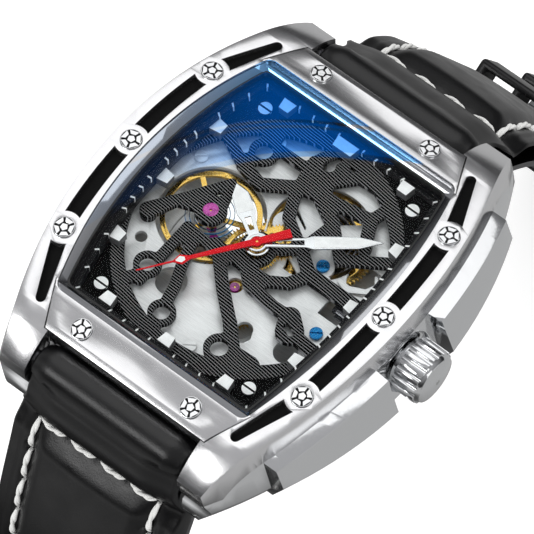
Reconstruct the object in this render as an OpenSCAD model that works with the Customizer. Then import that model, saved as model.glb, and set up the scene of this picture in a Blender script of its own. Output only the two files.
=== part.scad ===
/* [Case] */
// Thickness from the back glass to the top of the side rails at mid-case
case_t = 13.2; // [12.8:0.1:15]
// Half of the width over the bezel rails at mid-case
bezel_hw = 20.05; // [19.9:0.05:20.4]
// Radius of the side rails seen from above
bezel_side_r = 53; // [50:0.5:56]
// Radius of the bezel's arch from 12 to 6 o'clock
arch_r = 88; // [75:1:110]
// Half of the length over the lugs
lug_reach = 27; // [26.8:0.1:27.2]
// Radius of the lug's downward curve
lug_curve_r = 12; // [10:0.5:16]
// How far the flank's widest line stands outside the rail's top edge
flank_flare = 1.95; // [1.6:0.05:2.2]
// Height of the flank's widest line above the back glass
flank_z = 3.6; // [3:0.1:4.5]
// Height of the lug and flank edge above the back glass
flank_foot = 0.9; // [0.5:0.1:1.5]
// Half of the gap between the lugs
lug_gap_hw = 10.8; // [10.6:0.1:11.4]
// Distance from the centre to the case wall between the lugs
end_wall_y = 21.9; // [21.4:0.1:22.2]
// Radius of the round space for the movement
case_bore_r = 16.5; // [16.3:0.1:17]

/* [Bezel] */
// Thickness of the bezel
bezel_t = 2.6; // [2:0.1:3]
// Half width of the glass opening at 3 and 9 o'clock
opening_hw = 16.25; // [15.9:0.05:16.6]
// Half length of the glass opening at 12 and 6 o'clock
opening_hl = 18.6; // [18.2:0.1:18.8]
// Radius of the long sides of the glass opening
opening_r = 58; // [50:1:70]
// Outer edge of the end plates at 12 and 6 o'clock
plate_edge_y = 22.7; // [22.4:0.1:23.2]
// Half length of the end plate's inner edge
plate_in_hw = 13.3; // [13:0.1:13.6]
// Half length of the end plate's outer edge
plate_out_hw = 11.2; // [10.9:0.1:11.6]
// Width of the joint line between rail and end plate
seam = 0.12; // [0.08:0.01:0.2]
// Width of the black slots in the rails
slot_w = 1.9; // [1.6:0.05:2]
// Depth of the black slots
slot_depth = 1.1; // [0.8:0.1:1.4]
// Radius of the bezel screw heads
bezel_screw_r = 1.25; // [1.1:0.05:1.35]

/* [Glass and flange] */
// Thickness of the front glass
glass_t = 1.2; // [1:0.1:1.4]
// Width of the polished ring round the glass
ring_w = 1.5; // [1.3:0.05:1.7]
// Height of the dial plate's upper face above the back glass
dial_z = 8.6; // [8.5:0.05:8.8]
// Thickness of the dial plate
dial_t = 0.7; // [0.5:0.05:0.8]
// Radius of the open middle of the dial plate
dial_window_r = 14.6; // [14.2:0.1:14.8]
// Width of the hour blocks
marker_w = 1.8; // [1.4:0.1:2.2]

/* [Movement] */
// Radius of the main plate
plate_r = 15.5; // [15.3:0.05:15.6]
// Height of the main plate's upper face above the back glass
main_plate_z = 7.3; // [7.25:0.05:7.35]
// Thickness of the main plate
main_plate_t = 0.6; // [0.5:0.05:0.65]
// Height of the train bridge's upper face above the back glass
bridge_z = 4.2; // [4.1:0.05:4.3]
// Thickness of the train bridge
bridge_t = 0.9; // [0.7:0.05:1]
// Radius of the balance wheel
balance_r = 5.7; // [5.4:0.1:5.8]
// Radius of the rotor
rotor_r = 14.4; // [13.8:0.1:14.8]
// Radius of a jewel
jewel_r = 0.55; // [0.5:0.05:0.65]

/* [Hands] */
// Length of the hour hand
hour_len = 8.0; // [7:0.1:9]
// Length of the minute hand
minute_len = 13.9; // [12.5:0.1:14.2]
// Length of the second hand
second_len = 13.7; // [12:0.1:14]
// Thickness of the hands
hand_t = 0.2; // [0.15:0.01:0.22]

/* [Crown] */
// Radius of the crown over its ribs
crown_r = 3.35; // [3:0.05:3.5]
// Length of the ribbed part of the crown
crown_len = 4.0; // [3.5:0.1:4.3]
// Number of grooves round the crown
crown_grooves = 18; // [14:1:20]
// Height of the crown's axis above the back glass
crown_z = 7.0; // [6.9:0.05:7.1]
// How far the crown pulls out
crown_pull = 1.5; // [1:0.1:1.6]

/* [Strap] */
// Width of the strap at the lugs
strap_w = 21; // [20.4:0.1:21.2]
// Width of the strap at the buckle
strap_end_w = 19.6; // [18:0.1:20]
// Radius of the padded roll round the spring bar
roll_r = 2.6; // [2.4:0.1:2.8]
// Thickness of the strap behind the roll
strap_root_t = 4.4; // [3.8:0.1:4.8]
// Thickness of the strap at its free end
strap_end_t = 2.6; // [2.2:0.1:3]
// Thickness of the lining
lining_t = 0.9; // [0.6:0.1:1.1]
// Length of the buckle half from spring bar to buckle bar
upper_len = 78; // [72:1:84]
// Length of the hole half from spring bar to tip
lower_len = 118; // [112:1:124]
// Slope of the buckle half, down from level
upper_slope = 59; // [55:1:63]
// Slope of the hole half, down from level
lower_slope = 76; // [72:1:80]
// Number of strap holes
hole_count = 7; // [5:1:8]
// Radius of a strap hole
hole_r = 1.0; // [0.8:0.05:1.1]

/* [Hidden] */
$fn = 96;
e = 0.01;

// The flank draws in towards its foot, and the lug ends lean in below the rail tips
flank_tuck = 1.1;
rail_tip_z = 5.2;
lug_rake = 1.5;

// Crown guards: reach outside the rail, and their edges
guard_out = 3.95;
guard_mid = 5.3;
guard_foot = 2;
guard_y = 4;
guard_end_y = 20;

// Running clearance round arbors and bars
run = 0.04;
// Radial play of pieces pressed together, mm
press = 0.005;  // [0:0.005:0.02]
// Gap between pieces that touch softly
soft_gap = 0.3;

// Spring bars
bar_y = 24.5;
bar_z = 6.2;
bar_r = 0.75;
bar_hw = lug_gap_hw + 1.4;

// Places of the bezel screws, right-hand side
side_screw = [17.8, 0];
corner_screw = [16.78, 12.74];
plate_screw = [7.7, 20.7];
dial_screw = [10.45, 14.2];

// Heights of the dial side
net_z = dial_z - dial_t;
glass_depth = 0.55;
hour_hand_z = dial_z + 0.7;
minute_hand_z = hour_hand_z + 0.35;
second_hand_z = minute_hand_z + 0.35;

// Time shown, as angles from 12 o'clock
hour_angle = 304.3;
minute_angle = 51.6;
second_angle = 216;

// Opening behind the bezel, for dial plate and flange
well_hw = opening_hw;
well_hl = opening_hl;
well_r = opening_r;

// Half width and half length of the flange's inner edge, and its upper step
flange_hw = opening_hw - ring_w - 0.9;
flange_hl = opening_hl - ring_w - 0.9;
flange_step = 0.55;

// Gear train: places of the arbors
barrel_at = [3.8, 6.23];
third_at = 4.7 * [cos(277.5), sin(277.5)];
escape_at = 4.62 * [cos(212), sin(212)];
balance_at = [-7.1, 0.6];
cock_knee = [-10.9, -0.8];
cock_foot = [-12.5, -3.7];
minute_at = 2.88 * [cos(67), sin(67)];

// Tooth counts
barrel_teeth = 80;
centre_leaves = 10;
centre_teeth = 64;
third_leaves = 8;
third_teeth = 60;
fourth_leaves = 8;
fourth_teeth = 70;
escape_leaves = 7;
escape_teeth = 15;
cannon_leaves = 12;
minute_teeth = 36;
minute_leaves = 10;
hour_teeth = 40;
ratchet_teeth = 40;

// Modules follow from the distances between the arbors
barrel_m = 2 * norm(barrel_at) / (barrel_teeth + centre_leaves);
centre_m = 2 * norm(third_at) / (centre_teeth + third_leaves);
third_m = 2 * norm(third_at) / (third_teeth + fourth_leaves);
fourth_m = 2 * norm(escape_at) / (fourth_teeth + escape_leaves);
cannon_m = 2 * norm(minute_at) / (minute_teeth + cannon_leaves);
hour_m = 2 * norm(minute_at) / (hour_teeth + minute_leaves);

// Levels of the train, between train bridge and main plate
plate_under = main_plate_z - main_plate_t;
bridge_under = bridge_z - bridge_t;
centre_wheel_z = plate_under - 0.35;
barrel_top = centre_wheel_z - 0.2;
barrel_bottom = bridge_z + 0.7;
third_wheel_z = barrel_bottom + 0.1;
fourth_wheel_z = bridge_z + 0.3;
wheel_t = 0.24;

// Escapement
escape_r = 1.6;
pallet_gap = 2.02;
to_balance = balance_at - escape_at;
pallet_at = escape_at + pallet_gap * to_balance / norm(to_balance);
lever_dir = atan2(to_balance[1], to_balance[0]);
post_at = pallet_at + 2.2 * [cos(lever_dir + 90), sin(lever_dir + 90)];
pin_r = 0.55;
escape_z = 5.32;
fork_z = 5.3;
fork_t = 0.22;
roller_z = 5.66;
pallet_bridge_z = 5.95;
pallet_bridge_t = 0.3;
rim_z = 6.72;
rim_t = 0.45;
hairspring_z = 7.3;
lever_t = 0.3;

// Pillars between the plates, screws and pivots
pillar_places = [[-6.9, 12.1], [-8.7, -10.7], [7.7, -11.6], [11.2, 8.3]];
plate_screws = [[6.7, 3.2], [11.4, -3.8], [-12.6, 5.6], [1.6, -13.6]];
bridge_pivots = [third_at, escape_at, pallet_at, balance_at, [0, 0]];
back_screw = [13.4, 15.6];

// Arbors
arbor_r = 0.24;
pivot_r = 0.12;
second_arbor_r = 0.14;
centre_arbor_r = 0.42;
cannon_r = 0.78;
hour_tube_r = 1.15;
post_r = 0.25;

// Case back and rotor
back_seat_z = 1.4;
back_glass_t = 1.1;
rotor_z = back_seat_z + 0.1;
rotor_rim_t = 1.4;

// Crown
crown_base_x = 20.9;
crown_tube_r = 1.3;
stem_r = 0.55;
stem_end_x = 10.8;

// Straps
loop_r = 2.3;
tang_gap = 3.2;
tip_len = 13;
buckle_bar_r = 0.86;
buckle_hole_r = buckle_bar_r + run;
upper_end = [bar_y + upper_len * cos(upper_slope), bar_z - upper_len * sin(upper_slope)];
floor_z = upper_end[1] - loop_r;
bend_r = 15;

// Space between two long arcs
module lens2d(hw, r) {
    intersection_for(s = [-1, 1])
        translate([s * (r - hw), 0]) circle(r = r, $fn = 360);
}

// Tonneau outline: two long arcs, two straight ends and round corners
module tonneau2d(hw, hl, r, f) {
    c = r - hw;
    fx = sqrt(pow(r - f, 2) - pow(hl - f, 2)) - c;
    ty = r * (hl - f) / (r - f);
    intersection() {
        lens2d(hw, r);
        translate([-hw - 1, -ty]) square([2 * hw + 2, 2 * ty]);
    }
    translate([-fx, -hl]) square([2 * fx, 2 * hl]);
    for (sx = [-1, 1])
        for (sy = [-1, 1])
            translate([sx * fx, sy * (hl - f)]) circle(r = f, $fn = 32);
}

// The same with sharp corners
module lens_box2d(hw, hl, r) {
    intersection() {
        lens2d(hw, r);
        square([4 * hw, 2 * hl], center = true);
    }
}

// Straight arm with round ends that may differ in width
module bar2d(a, b, wa, wb = 0) {
    ra = wa / 2;
    rb = (wb > 0 ? wb : wa) / 2;
    d = b - a;
    l = norm(d);
    k = (ra - rb) / l;
    c = sqrt(1 - k * k);
    translate(a) rotate(atan2(d[1], d[0])) {
        circle(r = ra, $fn = 32);
        translate([l, 0]) circle(r = rb, $fn = 32);
        polygon([[ra * k, ra * c], [l + rb * k, rb * c], [l + rb * k, -rb * c], [ra * k, -ra * c]]);
    }
}

// The same arm as a solid of height h
module bar(a, b, h, wa, wb = 0) {
    ra = wa / 2;
    rb = (wb > 0 ? wb : wa) / 2;
    d = b - a;
    l = norm(d);
    k = (ra - rb) / l;
    c = sqrt(1 - k * k);
    translate([a[0], a[1], 0]) rotate(atan2(d[1], d[0])) {
        cylinder(r = ra, h = h, $fn = 32);
        translate([l, 0, 0]) cylinder(r = rb, h = h, $fn = 32);
        linear_extrude(h)
            polygon([[ra * k, ra * c], [l + rb * k, rb * c], [l + rb * k, -rb * c], [ra * k, -ra * c]]);
    }
}

module ring2d(ro, ri) {
    difference() {
        circle(r = ro);
        circle(r = ri);
    }
}

module tube(ro, ri, h) {
    difference() {
        cylinder(r = ro, h = h);
        translate([0, 0, -1]) cylinder(r = ri, h = h + 2);
    }
}

// Teeth: [root, tip, share of the pitch at the root, share at the tip]
wheel_form = [-1.2, 1.0, 0.62, 0.16];
pinion_form = [-1.35, 0.75, 0.5, 0.2];

// Gear outline with one tooth on the +X axis
module gear2d(teeth, m, form) {
    pitch = 360 / teeth;
    r = m * teeth / 2;
    polygon([
        for (i = [0 : teeth - 1])
            for (p = [[0, -2], [1, -3], [1, 3], [0, 2]])
                let (rad = r + form[p[0]] * m, a = i * pitch + sign(p[1]) * form[abs(p[1])] * pitch / 2)
                    [rad * cos(a), rad * sin(a)]
    ]);
}

// A wheel shows a gap towards its pinion, and the pinion a tooth towards its wheel
module wheel_teeth(teeth, m, towards) {
    rotate(towards + 180 / teeth) gear2d(teeth, m, wheel_form);
}

module pinion(leaves, m, towards, h) {
    rotate(towards) linear_extrude(h) gear2d(leaves, m, pinion_form);
}

function angle_of(p) = atan2(p[1], p[0]);

// Spoked wheel blank: teeth outside, three curved windows inside
module train_wheel(teeth, m, towards, hub_r, spokes) {
    root = m * teeth / 2 + wheel_form[0] * m;
    rim = max(0.35, root * 0.13);
    linear_extrude(wheel_t) {
        difference() {
            wheel_teeth(teeth, m, towards);
            circle(r = root - rim);
        }
        circle(r = hub_r);
        for (i = [0 : spokes - 1])
            rotate(i * 360 / spokes) translate([0, -0.22]) square([root - rim / 2, 0.44]);
    }
}

// Side outline of the case, seen along X, lowered by d from the top surface
module side2d(d) {
    start = 20.7;
    drop = arch_r - sqrt(arch_r * arch_r - start * start);
    lean = asin(start / arch_r);
    cy = start - lug_curve_r * sin(lean);
    cz = case_t - drop - lug_curve_r * cos(lean);
    intersection() {
        translate([0, case_t - arch_r]) circle(r = arch_r - d, $fn = 360);
        translate([-start, -1]) square([2 * start, case_t + 2]);
    }
    for (s = [-1, 1])
        intersection() {
            translate([s * cy, cz]) circle(r = lug_curve_r - d, $fn = 180);
            translate([s > 0 ? cy : -lug_reach, -1]) square([lug_reach - cy, case_t + 2]);
        }
}

// Everything under the arched surface at depth d
module under_arch(d) {
    rotate([90, 0, 90]) translate([0, 0, -40]) linear_extrude(80) side2d(d);
}

// One side of case and bezel, flaring down to its widest line and in again to the foot
module flank_side() {
    r = bezel_side_r;
    translate([bezel_hw - r, 0, 0]) rotate_extrude($fn = 360) polygon([
        [0, flank_foot], [r + flank_flare - flank_tuck, flank_foot],
        [r + flank_flare, flank_z], [r, case_t], [0, case_t]
    ]);
}

module both_flanks() {
    intersection() {
        flank_side();
        mirror([1, 0, 0]) flank_side();
    }
}

// Lower end of the lugs, below the tips of the rails
module lug_ends() {
    rotate([90, 0, 90]) translate([0, 0, -40]) linear_extrude(80) polygon([
        [-lug_reach, rail_tip_z], [lug_reach, rail_tip_z],
        [lug_reach - lug_rake, 0], [-lug_reach + lug_rake, 0]
    ]);
}

module strap_gap() {
    mirror_y() translate([-lug_gap_hw, end_wall_y, -1]) cube([2 * lug_gap_hw, 10, case_t + 2]);
}

// Round space for the strap's padded roll
module roll_space() {
    mirror_y() translate([-lug_gap_hw, bar_y, bar_z]) rotate([0, 90, 0])
        cylinder(r = roll_r + soft_gap, h = 2 * lug_gap_hw);
}

module mirror_y() {
    children();
    mirror([0, 1, 0]) children();
}

module mirror_x() {
    children();
    mirror([1, 0, 0]) children();
}

// Wedge-shaped shoulders on the crown side, with the crown between them
module crown_guards() {
    out_hw = bezel_hw + guard_out;
    out_r = 52;
    top = case_t - bezel_t;
    mirror_y() intersection() {
        translate([out_hw - out_r, 0, 0]) rotate_extrude($fn = 360) polygon([
            [0, guard_foot], [out_r - 1.5, guard_foot], [out_r, guard_mid],
            [out_r - 1.6, top], [0, top]
        ]);
        under_arch(bezel_t);
        translate([15, 0, 0]) linear_extrude(case_t)
            polygon([[-1, guard_y], [10, guard_y + 0.9], [10, guard_end_y], [-1, guard_end_y]]);
    }
}

module mid_case() {
    color("silver") difference() {
        union() {
            intersection() {
                both_flanks();
                union() {
                    under_arch(bezel_t);
                    lug_ends();
                }
            }
            crown_guards();
        }
        difference() {
            strap_gap();
            mirror_y() translate([-lug_gap_hw - 1, end_wall_y - 1, 5.4]) cube([2 * lug_gap_hw + 2, 1.9, 2.6]);
        }
        roll_space();
        mirror_y() translate([-lug_gap_hw, 0, 0]) rotate([90, 0, 90]) linear_extrude(2 * lug_gap_hw)
            polygon([[end_wall_y - 1.6, 0], [end_wall_y + 2, 0], [end_wall_y + 2, 5], [end_wall_y - 0.2, 5]]);
        translate([0, 0, back_seat_z - e]) cylinder(r = case_bore_r, h = case_t);
        translate([0, 0, net_z]) linear_extrude(case_t) lens_box2d(well_hw, well_hl, well_r);
        translate([0, 0, -1]) linear_extrude(back_seat_z + 1) case_back2d(0.05);
        for (x = [-1, 1]) for (y = [-1, 1])
            translate([x * bar_hw, y * bar_y, bar_z]) rotate([0, -x * 90, 0]) cylinder(r = bar_r + 0.03, h = 2);
        translate([10, 0, crown_z]) rotate([0, 90, 0]) cylinder(r = crown_tube_r, h = 14);
        translate([crown_base_x - 0.25, 0, crown_z]) rotate([0, 90, 0]) cylinder(r = crown_r + 0.35, h = 8);
        for (x = [-1, 1]) for (y = [-1, 1]) {
            translate([x * dial_screw[0], y * dial_screw[1], net_z - 1.6]) cylinder(r = 0.4, h = 3);
            translate([x * back_screw[0], y * back_screw[1], -1]) cylinder(r = 0.6, h = 4.2);
        }
        bezel_screw_shafts(0);
    }
}

// Bezel screws sit square to the arch
module at_bezel_screws() {
    for (p = concat(
        [for (x = [-1, 1]) [x * side_screw[0], side_screw[1]]],
        [for (x = [-1, 1], y = [-1, 1]) [x * corner_screw[0], y * corner_screw[1]]],
        [for (x = [-1, 1], y = [-1, 1]) [x * plate_screw[0], y * plate_screw[1]]]))
        translate([p[0], p[1], case_t - arch_r + sqrt(arch_r * arch_r - p[1] * p[1])])
            rotate([-asin(p[1] / arch_r), 0, 0]) children();
}

module bezel_screw_shafts(extra) {
    at_bezel_screws() translate([0, 0, -4.4]) cylinder(r = 0.55 + extra, h = 4);
}

module opening2d(grow = 0) {
    tonneau2d(opening_hw + grow, opening_hl + grow, opening_r + grow, 1.2);
}

module end_plate2d(grow) {
    translate([0, opening_hl]) polygon([
        [-plate_in_hw - grow - 0.4, -0.9], [plate_in_hw + grow + 0.4, -0.9],
        [plate_out_hw + grow, plate_edge_y - opening_hl + grow],
        [-plate_out_hw - grow, plate_edge_y - opening_hl + grow]
    ]);
}

module bezel_shell() {
    difference() {
        under_arch(0);
        under_arch(bezel_t);
    }
}

// Black slots: two between the screws, two tapering towards the lugs
module rail_slots2d() {
    mid_r = 79.6;
    clear_r = bezel_screw_r + 0.7;
    mirror_y() {
        difference() {
            intersection() {
                translate([side_screw[0] - mid_r, 0]) ring2d_fine(mid_r + slot_w / 2, mid_r - slot_w / 2);
                translate([10, 0.5]) square([10, corner_screw[1] - 0.5]);
            }
            translate(side_screw) circle(r = clear_r);
            translate(corner_screw) circle(r = clear_r);
        }
        difference() {
            bar2d([16.55, 13.6], [13.75, 20.4], slot_w, 0.62 * slot_w);
            translate(corner_screw) circle(r = clear_r);
        }
    }
}

module ring2d_fine(ro, ri) {
    difference() {
        circle(r = ro, $fn = 360);
        circle(r = ri, $fn = 360);
    }
}

module bezel_rail() {
    difference() {
        intersection() {
            bezel_shell();
            flank_side();
            translate([0, 0, rail_tip_z]) linear_extrude(case_t) difference() {
                translate([5, -lug_reach]) square([30, 2 * lug_reach]);
                opening2d();
                mirror_y() end_plate2d(seam);
                mirror_y() translate([-lug_gap_hw, plate_edge_y]) square([2 * lug_gap_hw, 10]);
            }
        }
        intersection() {
            under_arch(0);
            linear_extrude(case_t + 1) rail_slots2d();
            difference() {
                translate([0, -40, 0]) cube([40, 80, 40]);
                under_arch(slot_depth);
            }
        }
        mirror_y() translate([bar_hw, bar_y, bar_z]) rotate([0, -90, 0]) cylinder(r = bar_r + 0.03, h = 2);
        screw_seats();
    }
}

module screw_seats() {
    at_bezel_screws() {
        translate([0, 0, -0.9]) cylinder(r = bezel_screw_r + 0.03, h = 3);
        translate([0, 0, -4.4]) cylinder(r = 0.55, h = 4);
    }
}

module bezel_rail_right() {
    color("silver") bezel_rail();
}

module bezel_rail_left() {
    color("silver") mirror([1, 0, 0]) bezel_rail();
}

module bezel_end_top() {
    color("silver") difference() {
        intersection() {
            bezel_shell();
            linear_extrude(case_t + 1) difference() {
                end_plate2d(0);
                opening2d();
            }
        }
        roll_space();
        screw_seats();
    }
}

module bezel_end_bottom() {
    mirror([0, 1, 0]) bezel_end_top();
}

// Head with a five-armed recess, and a threaded shaft
module bezel_screws() {
    color("gainsboro") at_bezel_screws() difference() {
        union() {
            translate([0, 0, -0.9]) cylinder(r = bezel_screw_r, h = 1.05);
            translate([0, 0, -4.4]) cylinder(r = 0.5, h = 3.8);
        }
        translate([0, 0, -0.3]) linear_extrude(1) {
            circle(r = 0.55, $fn = 5);
            for (i = [0 : 4]) rotate(i * 72) translate([0.7, 0]) circle(r = 0.26, $fn = 24);
        }
    }
}

module slot_inserts() {
    color("black") mirror_x() intersection() {
        difference() {
            under_arch(slot_depth - 0.3);
            under_arch(slot_depth);
        }
        linear_extrude(case_t + 1) rail_slots2d();
    }
}

// Outline between two depths under the arch
module arched_layer(top, bottom) {
    intersection() {
        difference() {
            under_arch(top);
            under_arch(bottom);
        }
        linear_extrude(case_t + 1) children();
    }
}

// Polished ring between the bezel and the glass
module crystal_ring() {
    color("silver") difference() {
        arched_layer(0.35, glass_depth + glass_t) opening2d(-0.04);
        linear_extrude(case_t + 1) glass2d(0.25);
    }
}

module glass2d(grow) {
    tonneau2d(opening_hw - ring_w + grow, opening_hl - ring_w + grow, opening_r + 10, 0.8);
}

module crystal_gasket() {
    color("dimgray") difference() {
        arched_layer(0.75, glass_depth + glass_t) glass2d(0.24);
        linear_extrude(case_t + 1) glass2d(0.05);
    }
}

module front_crystal() {
    color("lightcyan", 0.3) arched_layer(glass_depth, glass_depth + glass_t) glass2d(0.04);
}

// Black sloping wall between glass and dial
module flange() {
    color("black") difference() {
        intersection() {
            under_arch(glass_depth + glass_t + 0.03);
            translate([0, 0, dial_z]) linear_extrude(case_t)
                tonneau2d(well_hw - 0.05, well_hl - 0.05, well_r, 1.2);
        }
        translate([0, 0, dial_z - 1]) linear_extrude(6) lens_box2d(flange_hw, flange_hl, opening_r + 10);
        difference() {
            linear_extrude(case_t + 1)
                lens_box2d(flange_hw + flange_step, flange_hl + flange_step, opening_r + 10);
            under_arch(glass_depth + glass_t + 0.5);
        }
    }
}

module block(x, y, turn) {
    translate([x, y, dial_z]) rotate(turn) linear_extrude(1.3) polygon([
        [-marker_w / 2, 0.2], [marker_w / 2, 0.2], [marker_w * 0.36, -1.4], [-marker_w * 0.36, -1.4]
    ]);
}

// Applied hour blocks, with a pair at 12
module hour_markers() {
    color("white") intersection() {
        linear_extrude(case_t)
            lens_box2d(flange_hw - press, flange_hl - press, opening_r + 10 - press);
        hour_blocks();
    }
}

module hour_blocks() {
    union() {
        for (s = [-1, 1]) {
            block(s * 0.62 - 0.1, flange_hl, 0);
            for (y = [-8.7, 0.2, 8.8])
                block(s * (sqrt(pow(opening_r + 10, 2) - y * y) - opening_r - 10 + flange_hw), y, s > 0 ? -90 : 90);
            block(s * 8.4, flange_hl, 0);
            block(s * 8.3, -flange_hl, 180);
        }
        block(0, -flange_hl, 180);
    }
}

// Round off the inner corners where arms meet
module fillet2d(r) {
    offset(r = -r, $fn = 24) offset(delta = r) children();
}

// Skeleton net: arms, lobes and ring bosses of the dial plate
module net2d() {
    bar2d([-13, 9.7], [-8, 7.3], 1.3);
    bar2d([-8, 7.3], [-5, 6.5], 1.5);
    bar2d([-5, 6.5], [-1.5, 8.8], 1.5);
    bar2d([-8.4, 14.5], [-7.2, 10.4], 3.2, 1.8);
    translate([-7.2, 10]) circle(r = 1.7, $fn = 40);
    bar2d([-6, 11.3], [-1, 11.3], 1.2);
    bar2d([-0.6, 15.8], [-2, 12.5], 1.3);
    bar2d([-2, 12.5], [-1.5, 9.8], 1.4);
    translate([-0.2, 10.6]) circle(r = 2.1, $fn = 48);
    bar2d([0, 10.5], [3, 13.9], 1.5);
    bar2d([3, 13.9], [6.6, 14.1], 1.1);
    bar2d([0.5, 12.6], [1.2, 15.4], 1.2);
    bar2d([1, 9.5], [7.5, 10.6], 1.5);
    bar2d([7.5, 10.6], [8.2, 13.2], 1.3);
    bar2d([7.5, 10.6], [9.2, 7.4], 1.5);
    bar2d([1, 9.5], [4.6, 7.6], 1.6);
    bar2d([4.6, 7.6], [8, 4.6], 1.4);
    bar2d([8, 4.6], [13.2, 8.1], 1.3);
    bar2d([-1.5, 8.8], [0.2, 5.2], 1.4);
    bar2d([0.2, 5.2], [3.8, 3.0], 1.3);
    bar2d([3.8, 3.0], [4.6, 7.6], 1.2);
    bar2d([3.8, 3.0], [6.6, 1.0], 1.5);
    bar2d([6.6, 1.0], [14, 1.0], 1.8);
    bar2d([6.6, 1.0], [5.4, -1.2], 1.4);
    bar2d([-4, -2.3], [0, -2.6], 1.2);
    bar2d([0, -2.6], [3.5, -2.4], 1.2);
    bar2d([3.5, -2.4], [5.4, -1.2], 1.3);
    bar2d([-4, -2.3], [-3, -3], 1.4);
    bar2d([-7.75, -2.6], [-7.7, -11], 1.2);
    bar2d([-7.7, -10], [-9.6, -12.6], 1.4);
    translate([-8.2, -9]) circle(r = 1.6, $fn = 40);
    bar2d([-6.4, -2.8], [-5.3, -6.5], 1.3);
    bar2d([-5.3, -6.5], [-4.2, -9], 1.3);
    bar2d([-4.2, -9], [-3.4, -12], 1.3);
    bar2d([-3.4, -12], [-2.5, -15.5], 1.5);
    translate([-3.1, -12.7]) circle(r = 1.6, $fn = 40);
    bar2d([-7.75, -2.6], [-3, -3], 1.2);
    bar2d([-3, -3], [0, -6], 1.5);
    bar2d([0, -6], [3.5, -9], 1.5);
    bar2d([3.5, -9], [6.5, -12], 1.6);
    bar2d([6.5, -12], [8.4, -12.4], 2.4, 3.4);
    bar2d([0.6, -2.8], [2, -4], 1.2);
    bar2d([2, -4], [6, -4.5], 1.4);
    bar2d([6, -4.5], [8.2, -4.4], 1.4);
    bar2d([8.2, -4.4], [9.3, -5.8], 2.4, 3.2);
    bar2d([9.3, -5.8], [13.6, -6.3], 1.6);
    bar2d([4.6, -12.2], [5.3, -14.8], 1.6);
    translate([4.6, -12.2]) circle(r = 1.75, $fn = 40);
    circle(r = 2.1, $fn = 48);
    bar2d([0, 0], [3.8, 3.0], 1.2);
    bar2d([0, 0], [-3, -2.8], 1.4);
}

// Holes through the net's bosses
module net_holes2d() {
    circle(r = hour_tube_r + 0.2);
    translate([-7.2, 10]) circle(r = 1.0);
    translate([-8.2, -9]) circle(r = 0.95);
    translate([-3.1, -12.7]) circle(r = 0.95);
    translate([4.6, -12.2]) circle(r = 1.05);
    translate([-0.3, 13]) circle(r = 0.7);
    bar2d([8.7, -5.6], [9.6, -6.0], 0.7);
}

module dial_plate() {
    color([0.1, 0.1, 0.11]) translate([0, 0, net_z]) difference() {
        union() {
            linear_extrude(dial_t) difference() {
                tonneau2d(well_hw - 0.1, well_hl - 0.1, well_r, 1.2);
                circle(r = dial_window_r, $fn = 180);
            }
            linear_extrude(dial_t) intersection() {
                circle(r = dial_window_r + 0.5);
                difference() {
                    fillet2d(0.35) net2d();
                    net_holes2d();
                    cock2d(0.15);
                }
            }
        }
        for (x = [-1, 1]) for (y = [-1, 1])
            translate([x * dial_screw[0], y * dial_screw[1], -1]) cylinder(r = 0.45, h = 3);
    }
}

// Arms of the balance cock: jewel boss, diagonal stay and foot
module cock2d(grow) {
    translate(balance_at) circle(r = 1.85 + grow, $fn = 48);
    bar2d(balance_at, cock_knee, 1.3 + 2 * grow);
    bar2d(cock_knee, [-7.4, 4.6], 1.2 + 2 * grow);
    bar2d([-7.4, 4.6], [-6.4, 1.6], 1.2 + 2 * grow);
    bar2d(cock_knee, cock_foot, 1.3 + 2 * grow, 2 + 2 * grow);
}

module dial_screws() {
    color("white") for (x = [-1, 1]) for (y = [-1, 1])
        translate([x * dial_screw[0], y * dial_screw[1], dial_z]) difference() {
            union() {
                cylinder(r = 0.8, h = 0.35);
                translate([0, 0, -2]) cylinder(r = 0.38, h = 2.1);
            }
            translate([-1, -0.12, 0.17]) cube([2, 0.24, 1]);
        }
}

// Plastic ring that centres the movement in the round bore
module movement_ring() {
    color("dimgray") difference() {
        translate([0, 0, 3.2]) cylinder(r = case_bore_r - 0.05, h = net_z - 3.2);
        translate([0, 0, 3]) cylinder(r = plate_r - 0.6, h = 10);
        translate([0, 0, plate_under]) cylinder(r = plate_r + 0.03, h = 5);
        translate([0, 0, 3]) cylinder(r = plate_r + 0.03, h = bridge_z - 3 + 0.02);
        translate([10, -1.6, crown_z - 1.6]) cube([10, 3.2, 5]);
    }
}

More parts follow.
